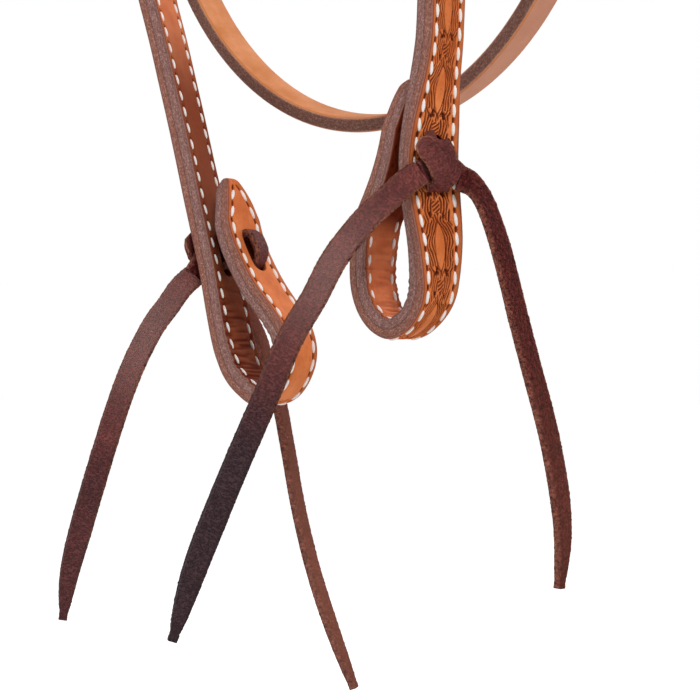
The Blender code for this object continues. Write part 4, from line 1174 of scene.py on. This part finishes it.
knotBands = {
    "cap": (((8.0, 1.6, -2.5), (8.0, 0.25, 0.5), (6.9, -0.4, 2.8), (5.1, 0.4, 3.5), (2.9, 1.8, 3.2),
             (0.4, 2.5, 2.4), (-1.6, 1.7, 1.6)), (0.58, 0.8)),
    "rear": (((-6.3, 0.9, -2.5), (-6.3, 0.1, 0.2), (-5.2, 0.3, 2.6), (-3.1, -0.2, 4.4),
              (-0.7, -1.5, 5.5), (1.8, -3.0, 5.8), (3.5, -4.1, 5.2), (4.3, -4.6, 4.7),
              (4.7, -4.5, 3.9), (4.4, -3.6, 3.1), (3.1, -2.1, 2.8), (1.2, 0.6, 2.6),
              (-0.4, 3.0, 2.9)), (0.58, 1.0)),
    "front": (((0.5, 3.1, 1.6), (-0.4, 1.0, 1.7), (-1.4, -2.6, 2.2)), (1.0, 1.0))}
knotDepth = {"near": 1.0, "off": 0.55}


def makeKnot(end, body, origin, upward, across, out, exits):
    # upward, across and out from the middle of the slot, in millimetres
    deep = knotDepth[end]
    turned = out.cross(upward).dot(across) < 0
    wide = tie["width"] * 0.98
    for name, (rows, (startWide, endWide)) in knotBands.items():
        points = [origin + (upward * u + across * a + out * n * deep) * 0.001 for u, a, n in rows]
        if name in exits:
            points.append(exits[name])
        points = [Vector(p) for p in smoothRows([tuple(p) for p in points], 4)]
        acrosses = []
        last = -upward if name == "front" else across
        for along in tangentsOf(points):
            flat = out.cross(along)
            if flat.length < 0.35:
                flat = last
            last = flat.normalized() * (1 if flat.dot(last) >= 0 else -1)
            acrosses.append(last)
        line = StrapLine(points, acrosses)
        bm = sweep(laceSection(wide, tie["thick"] * 0.8), line.length, 0.0003)

        def shape(s):
            return ((startWide + (1 - startWide) * ramp(s, 0.001, 0.0045))
                    * (endWide + (1 - endWide) * ramp(line.length - s, 0.001, 0.0045)))
        layAlong(bm, line, shape, laceRelief(wide, line.length, (name != "front") == turned,
                                             0.0, (0.0, 0.0, 0.1)))
        addPiece(f"{name}Band_{end}", bm, latigoLace, body)


for end, side in nearOff:
    makeTie(end)
print("ties ready")

# floor, light and background
stage = {"floorZ": -0.64, "floor": 0.9, "glow": 0.58, "world": 0.45}


def makeStage():
    bm = bmesh.new()
    bmesh.ops.create_grid(bm, x_segments=2, y_segments=2, size=6)
    bmesh.ops.translate(bm, vec=(0, 0, stage["floorZ"]), verts=bm.verts)
    mesh = bpy.data.meshes.new("floor")
    bm.to_mesh(mesh)
    bm.free()
    floor = newObject("floor", mesh)
    material = bpy.data.materials.new("paleFloor")
    material.use_nodes = True
    bench = Bench(material.node_tree)
    shader = material.node_tree.nodes["Principled BSDF"]
    for label, value in (("Base Color", (stage["floor"],) * 3 + (1,)), ("Roughness", 0.9),
                         ("Emission Color", (1, 1, 1, 1))):
        shader.inputs[label].default_value = value
    seen = bench.node("ShaderNodeLightPath").outputs["Is Camera Ray"]
    glow = bench.times(seen, stage["glow"])
    material.node_tree.links.new(glow, shader.inputs["Emission Strength"])
    mesh.materials.append(material)
    world = bpy.data.worlds.new("studio")
    bpy.context.scene.world = world
    world.use_nodes = True
    bench = Bench(world.node_tree)
    background = world.node_tree.nodes["Background"]
    path = bench.node("ShaderNodeLightPath").outputs
    plain = bench.math("MAXIMUM", bench.math("MAXIMUM", path["Is Camera Ray"],
                                             path["Is Glossy Ray"]), path["Is Transmission Ray"])
    world.node_tree.links.new(bench.span(plain, 0, 1, stage["world"], 1.0),
                              background.inputs["Strength"])
    background.inputs["Color"].default_value = (1, 1, 1, 1)


lamps = (("key", (0.85, -0.65, 0.45), 0.4, 8.0), ("fill", (-0.5, -1.1, 0.0), 0.8, 4.0),
         ("back", (0.2, 1.0, 0.2), 0.8, 5.0))


def makeLamps():
    aim = Vector((0, 0, -0.40))
    for name, place, size, power in lamps:
        data = bpy.data.lights.new(name, "AREA")
        data.size = size
        data.energy = power
        lamp = newObject(name, data)
        lamp.location = place
        lamp.rotation_euler = (aim - Vector(place)).to_track_quat("-Z", "Y").to_euler()


makeStage()
makeLamps()
bpy.context.view_layer.update()
print("scene ready")
